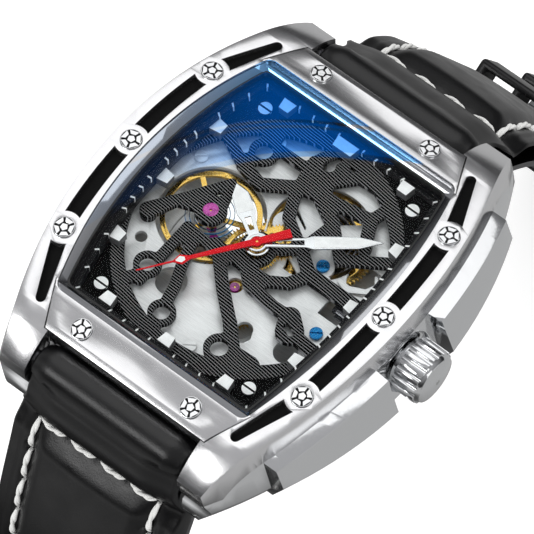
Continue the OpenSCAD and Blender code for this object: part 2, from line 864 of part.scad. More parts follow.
module main_plate() {
    color("silver") translate([0, 0, plate_under]) difference() {
        union() {
            linear_extrude(main_plate_t) difference() {
                circle(r = plate_r);
                translate(balance_at) circle(r = balance_r + 0.5);
                difference() {
                    translate(barrel_at) circle(r = 5.9);
                    circle(r = 3.3);
                    translate(minute_at) circle(r = 1.6);
                    bar2d([0, 5], [8, 1], 3.0);
                    bar2d(barrel_at, [6.7, 3.2], 2.6);
                    bar2d(barrel_at, [-2, 9.5], 2.2);
                    bar2d(barrel_at, [9.2, 10.6], 2.2);
                    translate(barrel_at) circle(r = 1.7);
                }
                bar2d([4.9, -8.2], [5.2, -8.9], 1.9);
                translate([0.6, -4.6]) circle(r = 0.95);
                translate([10.2, -7.6]) circle(r = 1.4);
                translate([-5.2, -8.6]) circle(r = 1.8);
                translate([-11.4, -6.3]) circle(r = 0.7);
                translate([-1.8, 13]) circle(r = 0.9);
                translate([11.4, 4.6]) circle(r = 2.0);
                translate([9.8, -1.6]) square([7, 3.2]);
            }
            translate([0, 0, main_plate_t]) for (p = pillar_places) translate(p) cylinder(r = 0.9, h = net_z - main_plate_z);
            for (p = pillar_places)
                translate([p[0], p[1], bridge_z - plate_under]) cylinder(r = 0.8, h = plate_under - bridge_z + 0.1);
            translate([minute_at[0], minute_at[1], 0]) cylinder(r = post_r, h = net_z - plate_under - 0.02);
        }
        translate([0, 0, -1]) cylinder(r = centre_arbor_r + run, h = 5);
        translate([third_at[0], third_at[1], -1]) cylinder(r = jewel_r, h = 3);
        translate([barrel_at[0], barrel_at[1], -1]) cylinder(r = 0.6, h = 3);
        for (p = plate_screws) translate([p[0], p[1], -1]) cylinder(r = 0.3, h = 3);
    }
}

// Bridges on the back of the movement
module train_bridge() {
    color("gainsboro") translate([0, 0, bridge_under]) difference() {
        linear_extrude(bridge_t) difference() {
            circle(r = plate_r);
            difference() {
                translate(balance_at) circle(r = balance_r + 0.3);
                bar2d(balance_at, [-13.5, 6.5], 3.0, 5.2);
                bar2d(balance_at, [-2, -1.6], 2.8, 4.6);
                translate(pallet_at) circle(r = 1.1);
                bar2d(pallet_at, post_at, 1.8);
                translate(escape_at) circle(r = 1.2);
            }
            bar2d([6.5, -8.5], [9.5, -5.5], 4.2, 3.2);
            bar2d([-3.5, 12.4], [1.5, 13.2], 1.6);
        }
        for (p = bridge_pivots) translate([p[0], p[1], -1]) cylinder(r = jewel_r, h = 3);
        translate([barrel_at[0], barrel_at[1], -1]) cylinder(r = 0.6, h = 3);
        for (p = pillar_places) translate([p[0], p[1], -1]) cylinder(r = 0.3, h = 3);
    }
}

// Upper bridge of escape wheel and fork, on a post
module pallet_bridge() {
    color("gainsboro") difference() {
        union() {
            translate([0, 0, pallet_bridge_z]) {
                bar(post_at, pallet_at, pallet_bridge_t, 1.5);
                bar(pallet_at, escape_at, pallet_bridge_t, 1.5);
            }
            translate([post_at[0], post_at[1], bridge_z]) cylinder(r = 0.55, h = pallet_bridge_z - bridge_z + e);
        }
        for (p = [escape_at, pallet_at]) translate([p[0], p[1], pallet_bridge_z - 1]) cylinder(r = jewel_r, h = 3);
    }
}

module balance_cock() {
    color([0.1, 0.1, 0.11]) difference() {
        union() {
            translate([0, 0, net_z]) linear_extrude(dial_t) fillet2d(0.2) cock2d(0);
            translate([cock_foot[0], cock_foot[1], main_plate_z]) cylinder(r = 0.95, h = net_z - main_plate_z + e);
        }
        translate([balance_at[0], balance_at[1], net_z - 1]) cylinder(r = 0.9, h = 3);
    }
}

// Shock settings and pivot jewels
module jewels() {
    color("deeppink") {
        translate([third_at[0], third_at[1], plate_under]) tube(jewel_r, pivot_r + run, 0.4);
        for (p = [escape_at, pallet_at])
            translate([p[0], p[1], pallet_bridge_z]) tube(jewel_r, pivot_r + run, pallet_bridge_t);
        for (p = [third_at, escape_at, pallet_at])
            translate([p[0], p[1], bridge_under + 0.3]) tube(jewel_r, pivot_r + run, bridge_t - 0.3);
        translate([0, 0, bridge_under + 0.3]) tube(jewel_r, second_arbor_r + run, bridge_t - 0.3);
        translate([balance_at[0], balance_at[1], bridge_under + 0.3]) tube(jewel_r, pivot_r + run, bridge_t - 0.3);
        translate([balance_at[0], balance_at[1], net_z]) tube(0.9, pivot_r + run, dial_t - 0.15);
    }
}

module bridge_screws() {
    color("steelblue") {
        for (p = plate_screws) translate([p[0], p[1], main_plate_z]) difference() {
            union() {
                cylinder(r = 0.75, h = 0.35);
                translate([0, 0, -main_plate_t]) cylinder(r = 0.3, h = main_plate_t + 0.1);
            }
            rotate(35) translate([-1, -0.1, 0.18]) cube([2, 0.2, 1]);
        }
        for (p = pillar_places) translate([p[0], p[1], bridge_under]) mirror([0, 0, 1]) difference() {
            union() {
                cylinder(r = 0.8, h = 0.3);
                translate([0, 0, -bridge_t]) cylinder(r = 0.3, h = bridge_t + e);
            }
            rotate(60) translate([-1, -0.1, 0.15]) cube([2, 0.2, 1]);
        }
    }
}

// Open-topped drum with teeth round its rim
module barrel() {
    root = barrel_m * barrel_teeth / 2 + wheel_form[0] * barrel_m;
    color("goldenrod") translate([barrel_at[0], barrel_at[1], 0]) {
        translate([0, 0, barrel_bottom]) difference() {
            cylinder(r = root - 0.25, h = barrel_top - barrel_bottom);
            translate([0, 0, 0.25]) cylinder(r = root - 0.6, h = 3);
            translate([0, 0, -1]) cylinder(r = 0.9 + run, h = 3);
        }
        translate([0, 0, barrel_top - 0.55]) linear_extrude(0.5) difference() {
            wheel_teeth(barrel_teeth, barrel_m, angle_of(-barrel_at));
            circle(r = root - 0.6);
        }
    }
}

module barrel_arbor() {
    color("silver") translate([barrel_at[0], barrel_at[1], 0]) {
        translate([0, 0, barrel_bottom]) cylinder(r = 0.9, h = barrel_top - barrel_bottom);
        translate([0, 0, bridge_under]) cylinder(r = 0.57, h = main_plate_z - bridge_under);
        translate([0, 0, bridge_under - 0.35]) linear_extrude(0.34) gear2d(ratchet_teeth, 0.2, wheel_form);
        translate([0, 0, bridge_under - 0.1]) cylinder(r = 0.9, h = 0.1);
    }
}

// Flat spiral strip from radius a to radius b
module spiral(a, b, turns, w, h) {
    n = turns * 24;
    linear_extrude(h) polygon(concat(
        [for (i = [0 : n]) let (r = a + (b - a) * i / n + w / 2) [r * cos(i * 15), r * sin(i * 15)]],
        [for (i = [n : -1 : 0]) let (r = a + (b - a) * i / n - w / 2) [r * cos(i * 15), r * sin(i * 15)]]));
}

mainspring_turns = 6;
mainspring_w = 0.16;
mainspring_in = 1.15;
mainspring_out = 4.8;
echo(mainspring_gap = (mainspring_out - mainspring_in) / mainspring_turns - mainspring_w);

module mainspring() {
    color("gray") translate([barrel_at[0], barrel_at[1], barrel_bottom + 0.3])
        spiral(mainspring_in, mainspring_out, mainspring_turns, mainspring_w, 0.9);
}

module centre_wheel() {
    color("gold") {
        translate([0, 0, centre_wheel_z]) difference() {
            train_wheel(centre_teeth, centre_m, angle_of(third_at), 1.0, 5);
            translate([0, 0, -1]) cylinder(r = second_arbor_r + run, h = 3);
        }
        difference() {
            union() {
                translate([0, 0, barrel_top - 0.6])
                    pinion(centre_leaves, barrel_m, angle_of(barrel_at), centre_wheel_z - barrel_top + 0.6);
                translate([0, 0, barrel_top - 0.6]) cylinder(r = centre_arbor_r, h = main_plate_z + 1.2 - barrel_top);
            }
            translate([0, 0, 3]) cylinder(r = second_arbor_r + run, h = 9);
        }
    }
}

module third_wheel() {
    color("gold") translate([third_at[0], third_at[1], 0]) {
        translate([0, 0, third_wheel_z]) train_wheel(third_teeth, third_m, angle_of(-third_at), 0.8, 5);
        translate([0, 0, centre_wheel_z - 0.12])
            pinion(third_leaves, centre_m, angle_of(-third_at), wheel_t + 0.2);
        translate([0, 0, bridge_z + 0.06]) cylinder(r = arbor_r, h = plate_under - bridge_z - 0.12);
        translate([0, 0, bridge_z - 0.4]) cylinder(r = pivot_r, h = plate_under - bridge_z + 0.75);
    }
}

module fourth_wheel() {
    color("gold") {
        translate([0, 0, fourth_wheel_z]) train_wheel(fourth_teeth, fourth_m, angle_of(escape_at), 0.7, 5);
        translate([0, 0, fourth_wheel_z + wheel_t - e])
            pinion(fourth_leaves, third_m, angle_of(third_at), third_wheel_z + wheel_t + 0.05 - fourth_wheel_z - wheel_t);
        translate([0, 0, bridge_z - 0.4]) cylinder(r = second_arbor_r, h = second_hand_z - bridge_z + 0.5);
    }
}

module escape_wheel() {
    root = escape_r * 0.72;
    pitch = 360 / escape_teeth;
    color("gold") translate([escape_at[0], escape_at[1], 0]) {
        translate([0, 0, escape_z]) linear_extrude(0.2) difference() {
            polygon([for (i = [0 : escape_teeth - 1])
                for (p = [[root, 0.1], [escape_r * 0.97, 0.42], [escape_r, 0.58], [escape_r * 0.9, 0.56], [root, 0.34]])
                    [p[0] * cos((i + p[1]) * pitch), p[0] * sin((i + p[1]) * pitch)]]);
            for (i = [0 : 3]) rotate(i * 90 + 45) translate([root * 0.52, 0]) circle(r = root * 0.27);
        }
        translate([0, 0, fourth_wheel_z - 0.1]) pinion(escape_leaves, fourth_m, angle_of(-escape_at), wheel_t + 0.25);
        small_arbor(arbor_r - 0.06);
    }
}

// Arbor between train bridge and pallet bridge, with its two pivots
module small_arbor(r) {
    translate([0, 0, bridge_z + 0.06]) cylinder(r = r, h = pallet_bridge_z - bridge_z - 0.1);
    translate([0, 0, bridge_z - 0.4]) cylinder(r = pivot_r, h = pallet_bridge_z - bridge_z + 0.65);
}

// Lever with two stones, banked clear of the escape wheel
module pallet_fork() {
    reach = norm(balance_at - pallet_at) - pin_r + 0.2;
    color("silver") translate([pallet_at[0], pallet_at[1], 0]) {
        rotate(lever_dir) translate([0, 0, fork_z]) difference() {
            union() {
                bar([0, 0], [reach - 0.35, 0], fork_t, 0.6, 0.32);
                bar([0, 0], [-0.25, 1.15], fork_t, 0.5, 0.4);
                bar([0, 0], [-0.25, -1.15], fork_t, 0.5, 0.4);
                bar([reach - 0.4, 0], [reach, 0.24], fork_t, 0.3, 0.16);
                bar([reach - 0.4, 0], [reach, -0.24], fork_t, 0.3, 0.16);
            }
            translate([reach - 0.22, -0.13, -1]) cube([1, 0.26, 3]);
        }
        small_arbor(arbor_r - 0.04);
    }
}

module balance_wheel() {
    color("gold") translate([balance_at[0], balance_at[1], 0]) {
        translate([0, 0, rim_z]) linear_extrude(rim_t) {
            ring2d(balance_r, balance_r - 0.6);
            circle(r = 0.9);
        }
        translate([0, 0, rim_z + 0.12]) linear_extrude(0.26)
            for (i = [0 : 2]) rotate(i * 120 + 20) translate([0, -0.3]) square([balance_r - 0.3, 0.6]);
        for (i = [0 : 7]) rotate(i * 45 + 22) translate([balance_r - 0.3, 0, rim_z + rim_t - 0.05])
            cylinder(r = 0.2, h = 0.15);
        translate([0, 0, roller_z]) cylinder(r = 0.8, h = 0.18);
        rotate(lever_dir + 180) translate([pin_r, 0, roller_z - 0.1]) cylinder(r = 0.09, h = 0.2);
        translate([0, 0, bridge_z + 0.1]) cylinder(r = arbor_r, h = net_z - bridge_z - 0.2);
        translate([0, 0, bridge_z - 0.4]) cylinder(r = pivot_r, h = net_z - bridge_z + 0.8);
    }
}

hairspring_turns = 5;
hairspring_w = 0.07;
hairspring_in = 0.55;
hairspring_out = 3.1;
echo(hairspring_gap = (hairspring_out - hairspring_in) / hairspring_turns - hairspring_w);

module hairspring() {
    color("darkslateblue") translate([balance_at[0], balance_at[1], hairspring_z]) {
        spiral(hairspring_in, hairspring_out, hairspring_turns, hairspring_w, 0.2);
        tube(0.55, arbor_r, 0.22);
    }
}

module cannon_pinion() {
    color("goldenrod") difference() {
        union() {
            translate([0, 0, main_plate_z + 0.04]) pinion(cannon_leaves, cannon_m, angle_of(minute_at), 0.3);
            translate([0, 0, main_plate_z + 0.04]) cylinder(r = cannon_r - 0.15, h = 0.6);
            translate([0, 0, main_plate_z + 0.34]) cylinder(r = cannon_r, h = minute_hand_z - main_plate_z - 0.24);
        }
        translate([0, 0, main_plate_z - 1]) cylinder(r = centre_arbor_r, h = 2.2);
        translate([0, 0, main_plate_z]) cylinder(r = second_arbor_r + run, h = 6);
    }
}

module minute_wheel() {
    color("gold") translate([minute_at[0], minute_at[1], 0]) {
        translate([0, 0, main_plate_z + 0.06]) linear_extrude(0.2) difference() {
            wheel_teeth(minute_teeth, cannon_m, angle_of(-minute_at));
            for (i = [0 : 3]) rotate(i * 90) translate([1.2, 0]) circle(r = 0.4);
            circle(r = post_r + run);
        }
        translate([0, 0, main_plate_z + 0.25]) difference() {
            pinion(minute_leaves, hour_m, angle_of(-minute_at), net_z - main_plate_z - 0.3);
            translate([0, 0, -1]) cylinder(r = post_r + run, h = 3);
        }
    }
}

module hour_wheel() {
    color("gold") {
        translate([0, 0, main_plate_z + 0.37]) linear_extrude(0.17) difference() {
            wheel_teeth(hour_teeth, hour_m, angle_of(minute_at));
            circle(r = cannon_r + run);
        }
        translate([0, 0, main_plate_z + 0.37]) tube(hour_tube_r, cannon_r + run, hour_hand_z - main_plate_z - 0.27);
    }
}

// Hook-shaped lever of the setting works
module yoke_lever() {
    color("white") translate([0, 0, main_plate_z]) {
        bar([10.6, 2.6], [12.4, 3.6], lever_t, 0.9, 0.6);
        bar([12.4, 3.6], [12.9, 4.9], lever_t, 0.6, 0.45);
        bar([12.9, 4.9], [12.2, 5.7], lever_t, 0.45, 0.35);
        bar([10.6, 2.6], [9.3, 2.9], lever_t, 0.9, 0.5);
    }
}

// Blade of a hand along +X: [distance, half width] from root to tip, with a slot in its root
module hand(t, boss_r, hole_r, steps, slot) {
    difference() {
        union() {
            cylinder(r = boss_r, h = t);
            linear_extrude(t) difference() {
                polygon(concat(steps, [for (i = [len(steps) - 1 : -1 : 0]) [steps[i][0], -steps[i][1]]]));
                polygon([
                    [slot[0], slot[2] * 0.7], [slot[1], slot[2]], [slot[1], -slot[2]], [slot[0], -slot[2] * 0.7]
                ]);
            }
        }
        translate([0, 0, -1]) cylinder(r = hole_r, h = 3);
    }
}

module hour_hand() {
    color("silver") translate([0, 0, hour_hand_z]) rotate(90 - hour_angle)
        hand(hand_t, hour_tube_r + 0.3, hour_tube_r + press,
            [[0.2, 0.55], [3.2, 0.75], [4.2, 1.05], [6.6, 0.95], [hour_len, 0.05]], [1.9, 3.6, 0.36]);
}

module minute_hand() {
    color("silver") translate([0, 0, minute_hand_z]) rotate(90 - minute_angle)
        hand(hand_t, cannon_r + 0.32, cannon_r + press,
            [[0.2, 0.5], [5.4, 0.6], [6.2, 0.85], [11.2, 0.75], [minute_len, 0.05]], [1.7, 5.2, 0.28]);
}

module second_hand() {
    color("red") translate([0, 0, second_hand_z]) rotate(90 - second_angle)
        hand(hand_t * 0.8, 0.6, second_arbor_r,
            [[-3.9, 0.55], [0, 0.4], [7.6, 0.22], [8.6, 0.62], [9.5, 0.1], [second_len, 0.06]], [8.25, 8.75, 0.2]);
}

// Half-disc rotor with a heavy rim
module rotor() {
    color("silver") {
        translate([0, 0, rotor_z]) linear_extrude(rotor_rim_t) intersection() {
            ring2d(rotor_r, rotor_r - 3.2);
            rotate(180) translate([-20, -1.5]) square([40, 20]);
        }
        translate([0, 0, rotor_z + 0.7]) difference() {
            linear_extrude(0.4) difference() {
                union() {
                    intersection() {
                        circle(r = rotor_r - 3);
                        rotate(180) translate([-20, -1.5]) square([40, 20]);
                    }
                    circle(r = 3.4);
                }
                for (s = [-1, 1]) rotate(-90 + s * 38) bar2d([5.2, 0], [8.8, 0], 1.6, 3.0);
                circle(r = 2.3 + run);
            }
        }
    }
}

module rotor_bearing() {
    color("gray") translate([0, 0, rotor_z + 0.55]) difference() {
        union() {
            translate([0, 0, -0.05]) cylinder(r = 2.75, h = 0.15);
            cylinder(r = 2.3, h = bridge_under - rotor_z - 0.55);
            translate([0, 0, 0.62]) cylinder(r = 2.9, h = bridge_under - rotor_z - 0.55 - 0.62);
        }
        translate([0, 0, -1]) cylinder(r = 0.5, h = 1 + bridge_under - rotor_z - 0.9);
    }
}

module rotor_screw() {
    color("steelblue") translate([0, 0, rotor_z + 0.5]) mirror([0, 0, 1]) difference() {
        union() {
            cylinder(r = 1.7, h = 0.4);
            translate([0, 0, -0.8]) cylinder(r = 0.48, h = 0.9);
        }
        translate([-2, -0.16, 0.2]) cube([4, 0.32, 1]);
    }
}

module case_back2d(grow) {
    tonneau2d(17.6 + grow, 18.6 + grow, 50 + grow, 3);
}

back_glass_r = 13.2;

module case_back() {
    color("silver") difference() {
        translate([0, 0, 0.3]) linear_extrude(back_seat_z - 0.3) case_back2d(0);
        translate([0, 0, -1]) cylinder(r = back_glass_r - 0.8, h = 5);
        translate([0, 0, -1]) cylinder(r = back_glass_r + 0.3, h = back_glass_t + 1);
        for (x = [-1, 1]) for (y = [-1, 1]) translate([x * back_screw[0], y * back_screw[1], 0]) {
            translate([0, 0, -1]) cylinder(r = 1.1, h = 1.9);
            cylinder(r = 0.6, h = 3);
        }
    }
}

module back_crystal() {
    color("lightcyan", 0.3) cylinder(r = back_glass_r, h = back_glass_t);
}

module back_gasket() {
    color("black") translate([0, 0, 0.3]) tube(back_glass_r + 0.3, back_glass_r, back_glass_t - 0.3);
}

module back_screws() {
    color("gainsboro") for (x = [-1, 1]) for (y = [-1, 1])
        translate([x * back_screw[0], y * back_screw[1], 0.4]) difference() {
            union() {
                cylinder(r = 1.05, h = 0.5);
                cylinder(r = 0.55, h = 2.4);
            }
            translate([-0.15, -2, -1]) cube([0.3, 4, 1.25]);
        }
}

module crown() {
    color("silver") translate([crown_base_x, 0, crown_z]) rotate([0, 90, 0]) difference() {
        union() {
            cylinder(r = crown_r - 0.55, h = crown_len);
            translate([0, 0, 0.5]) cylinder(r = crown_r, h = crown_len - 0.9);
            translate([0, 0, crown_len - 0.4]) cylinder(r1 = crown_r - 0.2, r2 = crown_r - 0.45, h = 0.5);
            translate([0, 0, crown_len]) rotate_extrude() intersection() {
                translate([0, 0.5 - 11]) circle(r = 11);
                square([crown_r - 0.5, 2]);
            }
        }
        for (i = [0 : crown_grooves - 1]) rotate(i * 360 / crown_grooves)
            translate([crown_r + 0.1, 0, 0.3]) cylinder(r = 0.36, h = crown_len - 0.6, $fn = 24);
        translate([0, 0, -1]) cylinder(r = crown_tube_r + 0.35, h = 2.6);
    }
}

module crown_tube() {
    color("silver") translate([case_bore_r + 0.4, 0, crown_z]) rotate([0, 90, 0])
        tube(crown_tube_r, stem_r + 0.25, crown_base_x + 1.2 - case_bore_r - 0.4);
}

module winding_stem() {
    color("gray") translate([0, 0, crown_z]) rotate([0, 90, 0]) {
        translate([0, 0, 14.2]) cylinder(r = stem_r, h = crown_base_x + 1.6 - 14.2);
        translate([-0.35, -0.35, stem_end_x]) cube([0.7, 0.7, 14.4 - stem_end_x]);
    }
}

module winding_pinion() {
    color("gray") translate([11.4, 0, crown_z]) rotate([0, 90, 0]) difference() {
        linear_extrude(1.1) gear2d(14, 0.11, pinion_form);
        translate([-0.35 - run, -0.35 - run, -1]) cube([0.7 + 2 * run, 0.7 + 2 * run, 4]);
    }
}

module spring_bar() {
    translate([-bar_hw, 0, 0]) rotate([0, 90, 0]) cylinder(r = bar_r, h = 2 * bar_hw);
}

module spring_bar_upper() {
    color("gray") translate([0, bar_y, bar_z]) spring_bar();
}

module spring_bar_lower() {
    color("gray") translate([0, -bar_y, bar_z]) spring_bar();
}

// Thickness of the strap at distance s from the spring bar
function strap_t(s) = s < 8 ? strap_root_t
    : s < 34 ? strap_root_t + (strap_end_t - strap_root_t) * (s - 8) / 26
    : strap_end_t;

// Centre line of a strap half: [y, z, heading], y growing away from the case
function run_straight(s, slope) = [s * cos(slope), -s * sin(slope), slope];
lower_straight = (bar_z - floor_z - strap_end_t / 2 - bend_r * (1 - cos(lower_slope))) / sin(lower_slope);
bend_len = bend_r * lower_slope * PI / 180;
function lower_line(s) =
    s < lower_straight ? run_straight(s, lower_slope)
    : s < lower_straight + bend_len
        ? let (a = lower_slope - (s - lower_straight) * 180 / PI / bend_r, p = run_straight(lower_straight, lower_slope))
            [p[0] + bend_r * (sin(lower_slope) - sin(a)), p[1] - bend_r * (cos(a) - cos(lower_slope)), a]
    : let (p = run_straight(lower_straight, lower_slope))
        [p[0] + bend_r * sin(lower_slope) + s - lower_straight - bend_len, p[1] - bend_r * (1 - cos(lower_slope)), 0];

// Point beside the centre line: side +1 is the outer face
function beside(p, d) = [p[0] + d * sin(p[2]), p[1] + d * cos(p[2])];

lower_steps = concat([for (s = [1 : 3 : lower_straight]) s],
    [for (i = [0 : 8]) lower_straight + bend_len * i / 8], [lower_len]);

// Outer leather: polygon between two offsets from the centre line
module strap2d(line_steps, is_lower, outer, inner) {
    polygon(concat(
        [for (s = line_steps) beside(strap_line(s, is_lower), outer ? strap_t(s) / 2 : lining_t - strap_t(s) / 2)],
        [for (i = [len(line_steps) - 1 : -1 : 0]) let (s = line_steps[i])
            beside(strap_line(s, is_lower), inner ? -strap_t(s) / 2 : lining_t - strap_t(s) / 2)]));
}

function strap_line(s, is_lower) = is_lower ? lower_line(s) : run_straight(s, upper_slope);
upper_steps = concat([for (s = [1 : 3 : upper_len - 2]) s], [upper_len]);

module along_x(w) {
    rotate([90, 0, 90]) translate([0, 0, -w / 2]) linear_extrude(w) children();
}

// Plan shape in the strap's own slope: narrows from the lugs to the end
module taper_block(slope, long) {
    rotate([-slope, 0, 0]) translate([0, 0, -8]) linear_extrude(16)
        polygon([[-strap_w / 2, -4], [strap_w / 2, -4], [strap_w / 2, 6], [strap_end_w / 2, 48], [strap_end_w / 2, long],
            [-strap_end_w / 2, long], [-strap_end_w / 2, 48], [-strap_w / 2, 6]]);
}

module upper_place() {
    translate([0, bar_y, bar_z]) children();
}

module lower_place() {
    translate([0, -bar_y, bar_z]) mirror([0, 1, 0]) children();
}

// Outline and padded roll of a strap half
module strap_body(steps, is_lower) {
    along_x(strap_w) strap2d(steps, is_lower, true, false);
    along_x(strap_w) circle(r = roll_r);
}

module strap_upper() {
    color([0.12, 0.12, 0.13]) upper_place() difference() {
        intersection() {
            union() {
                strap_body(upper_steps, false);
                along_x(strap_w) translate(upper_end - [bar_y, bar_z]) circle(r = loop_r);
            }
            taper_block(upper_slope, upper_len + 3);
        }
        along_x(strap_w + 2) circle(r = bar_r + run);
        along_x(strap_w + 2) translate(upper_end - [bar_y, bar_z]) circle(r = buckle_hole_r);
        rotate([-upper_slope, 0, 0]) translate([-tang_gap / 2, upper_len - 3.6, -4]) cube([tang_gap, 8, 8]);
    }
}

module strap_upper_lining() {
    color([0.35, 0.35, 0.37]) upper_place() intersection() {
        along_x(strap_w) difference() {
            strap2d(upper_steps, false, false, true);
            circle(r = roll_r);
            translate(upper_end - [bar_y, bar_z]) circle(r = loop_r + 2.4);
        }
        taper_block(upper_slope, upper_len + 3);
    }
}

// Everything inside the outline of the hole half, seen across the strap
module lower_block() {
    tip_y = lower_line(lower_len)[0];
    intersection() {
        union() {
            taper_block(lower_slope, lower_straight + 4);
            translate([-strap_end_w / 2, lower_line(lower_straight - 2)[0], -100]) cube([strap_end_w, 100, 100]);
        }
        translate([0, 0, -100]) linear_extrude(120) polygon(concat(
            [[-15, -10], [15, -10], [15, tip_y - tip_len - 2]],
            [for (a = [0 : 10 : 180]) [(strap_end_w / 2 + 0.4) * cos(a), tip_y - tip_len * (1 - sin(a))]],
            [[-15, tip_y - tip_len - 2]]));
    }
}

module strap_holes() {
    for (i = [0 : hole_count - 1]) {
        s = lower_len - 26 - i * 6.5;
        p = lower_line(s);
        translate([0, p[0], p[1]]) rotate([-p[2], 0, 0]) cylinder(r = hole_r, h = 12, center = true);
    }
}

module strap_lower() {
    color([0.12, 0.12, 0.13]) lower_place() difference() {
        intersection() {
            strap_body(lower_steps, true);
            lower_block();
        }
        along_x(strap_w + 2) circle(r = bar_r + run);
        strap_holes();
    }
}

module strap_lower_lining() {
    color([0.35, 0.35, 0.37]) lower_place() difference() {
        intersection() {
            along_x(strap_w) difference() {
                strap2d(lower_steps, true, false, true);
                circle(r = roll_r);
            }
            lower_block();
        }
        strap_holes();
    }
}

// Leather loop round the strap, s is its place along the buckle half
module keeper(s, w, clear) {
    t = strap_end_t + 2 * clear;
    hw = strap_end_w / 2 + clear;
    upper_place() rotate([-upper_slope, 0, 0]) translate([0, s, 0]) difference() {
        translate([-hw - 1.1, -w / 2, -t / 2 - 1.1]) cube([2 * hw + 2.2, w, t + strap_end_t + 0.3 + 2.2]);
        translate([-hw, -w, -t / 2]) cube([2 * hw, 2 * w, t + strap_end_t + 0.3]);
    }
}

module fixed_keeper() {
    color([0.14, 0.14, 0.15]) keeper(upper_len - 10, 5, press);
}

module free_keeper() {
    color([0.14, 0.14, 0.15]) keeper(upper_len - 26, 5, 0.12);
}

module buckle_bar() {
    color("gray") translate([-strap_end_w / 2 - 1.6, upper_end[0], upper_end[1]]) rotate([0, 90, 0])
        cylinder(r = buckle_bar_r, h = strap_end_w + 3.2);
}

buckle_len = 14;
frame_half = 1.1;
buckle_tilt = asin((loop_r - frame_half) / (buckle_len + 0.6));

module buckle_place() {
    translate([0, upper_end[0], upper_end[1]]) rotate([-buckle_tilt, 0, 0]) children();
}

module buckle_frame() {
    hw = strap_end_w / 2 + 0.3;
    color("silver") buckle_place() difference() {
        union() {
            mirror_x() translate([hw, 0, 0]) rotate([0, 90, 0]) cylinder(r = 1.3, h = 2);
            mirror_x() translate([hw, 0, -frame_half]) cube([2, buckle_len - 1, 2 * frame_half]);
            translate([-hw - 2, buckle_len - 2.4, -frame_half]) cube([2 * hw + 4, 3, 2 * frame_half]);
        }
        translate([-hw - 5, 0, 0]) rotate([0, 90, 0]) cylinder(r = buckle_hole_r, h = 2 * hw + 10);
        translate([-1.2, buckle_len - 4, 0.5]) cube([2.4, 8, 2]);
    }
}

module buckle_tang() {
    color("silver") buckle_place() difference() {
        union() {
            translate([-1.2, 0, 0]) rotate([0, 90, 0]) cylinder(r = 1.5, h = 2.4);
            translate([-0.9, 0, 0.6]) cube([1.8, buckle_len + 0.8, 0.9]);
        }
        translate([-3, 0, 0]) rotate([0, 90, 0]) cylinder(r = buckle_hole_r, h = 6);
    }
}

mid_case();
bezel_rail_left();
bezel_rail_right();
bezel_end_top();
bezel_end_bottom();
bezel_screws();
slot_inserts();
crystal_ring();
front_crystal();
crystal_gasket();
flange();
hour_markers();
dial_plate();
dial_screws();
movement_ring();
main_plate();
train_bridge();
pallet_bridge();
balance_cock();
barrel();
barrel_arbor();
mainspring();
centre_wheel();
third_wheel();
fourth_wheel();
escape_wheel();
pallet_fork();
balance_wheel();
hairspring();
jewels();
bridge_screws();
cannon_pinion();
minute_wheel();
hour_wheel();
yoke_lever();
hour_hand();
minute_hand();
second_hand();
rotor();
rotor_bearing();
rotor_screw();
case_back();
back_crystal();
back_gasket();
back_screws();
crown();
crown_tube();
winding_stem();
winding_pinion();
spring_bar_upper();
spring_bar_lower();
strap_upper();
strap_upper_lining();
strap_lower();
strap_lower_lining();
fixed_keeper();
free_keeper();
buckle_bar();
buckle_frame();
buckle_tang();
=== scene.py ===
"""Dresses a skeleton wristwatch: steel case, glass, black net, movement, hands and strap."""

import math

import bpy
from mathutils import Matrix, Vector


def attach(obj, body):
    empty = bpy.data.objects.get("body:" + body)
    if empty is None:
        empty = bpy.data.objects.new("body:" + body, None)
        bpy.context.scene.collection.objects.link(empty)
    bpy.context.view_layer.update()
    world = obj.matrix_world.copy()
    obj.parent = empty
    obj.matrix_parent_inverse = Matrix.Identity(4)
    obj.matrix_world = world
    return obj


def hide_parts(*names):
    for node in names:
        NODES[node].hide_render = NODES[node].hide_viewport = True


bl_info = {
    "name": "Skeleton Wristwatch",
    "version": (1, 0, 0),
    "blender": (4, 5, 0),
    "location": "View3D > Sidebar > Watch",
    "description": "Finishes, fittings, strap and studio for a skeleton wristwatch",
    "category": "Object",
}

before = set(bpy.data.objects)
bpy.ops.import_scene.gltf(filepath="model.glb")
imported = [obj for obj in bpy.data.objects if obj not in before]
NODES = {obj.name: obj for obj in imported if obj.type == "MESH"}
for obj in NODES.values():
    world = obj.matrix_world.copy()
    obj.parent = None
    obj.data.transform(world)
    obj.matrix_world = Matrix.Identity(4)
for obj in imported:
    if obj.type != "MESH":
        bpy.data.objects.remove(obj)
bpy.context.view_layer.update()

# One millimetre in metres. The other places and sizes are in millimetres.
MM = 0.001
# The case: its arched top, the screws in one quarter of the bezel, and the spring bars.
CASE_TOP, ARCH_R = 13.2, 88.0
CORNER_SCREW, PLATE_SCREW, SIDE_SCREW = (16.78, 12.74), (7.7, 20.7), (17.8, 0.0)
SCREW_TURN = 1.1
BAR_Y, BAR_Z = 24.5, 6.2
# Ring and flange have tonneau outlines, of half a width, half a length and a side radius.
RING_HW, RING_HL, RING_SLOPE = 15.5, 17.85, 0.4
FLANGE_HW, FLANGE_HL, FLANGE_SIDE_R = 13.85, 16.2, 68
FLANGE_DEPTH = 2.25
TICK_TOP, TICK_T, CLEAR = 0.5, 0.05, 0.01
# The dial's level, the heights between which the dial screws' slots are painted black as shade,
# and two bridge screws left pale.
DIAL_Z = 8.6
SLOT_LOW, SLOT_HIGH = 0.12, 0.26
PALE_SCREWS = ((-12.6, 5.6), (1.6, -13.6))
FLOOR_Z = -62.96
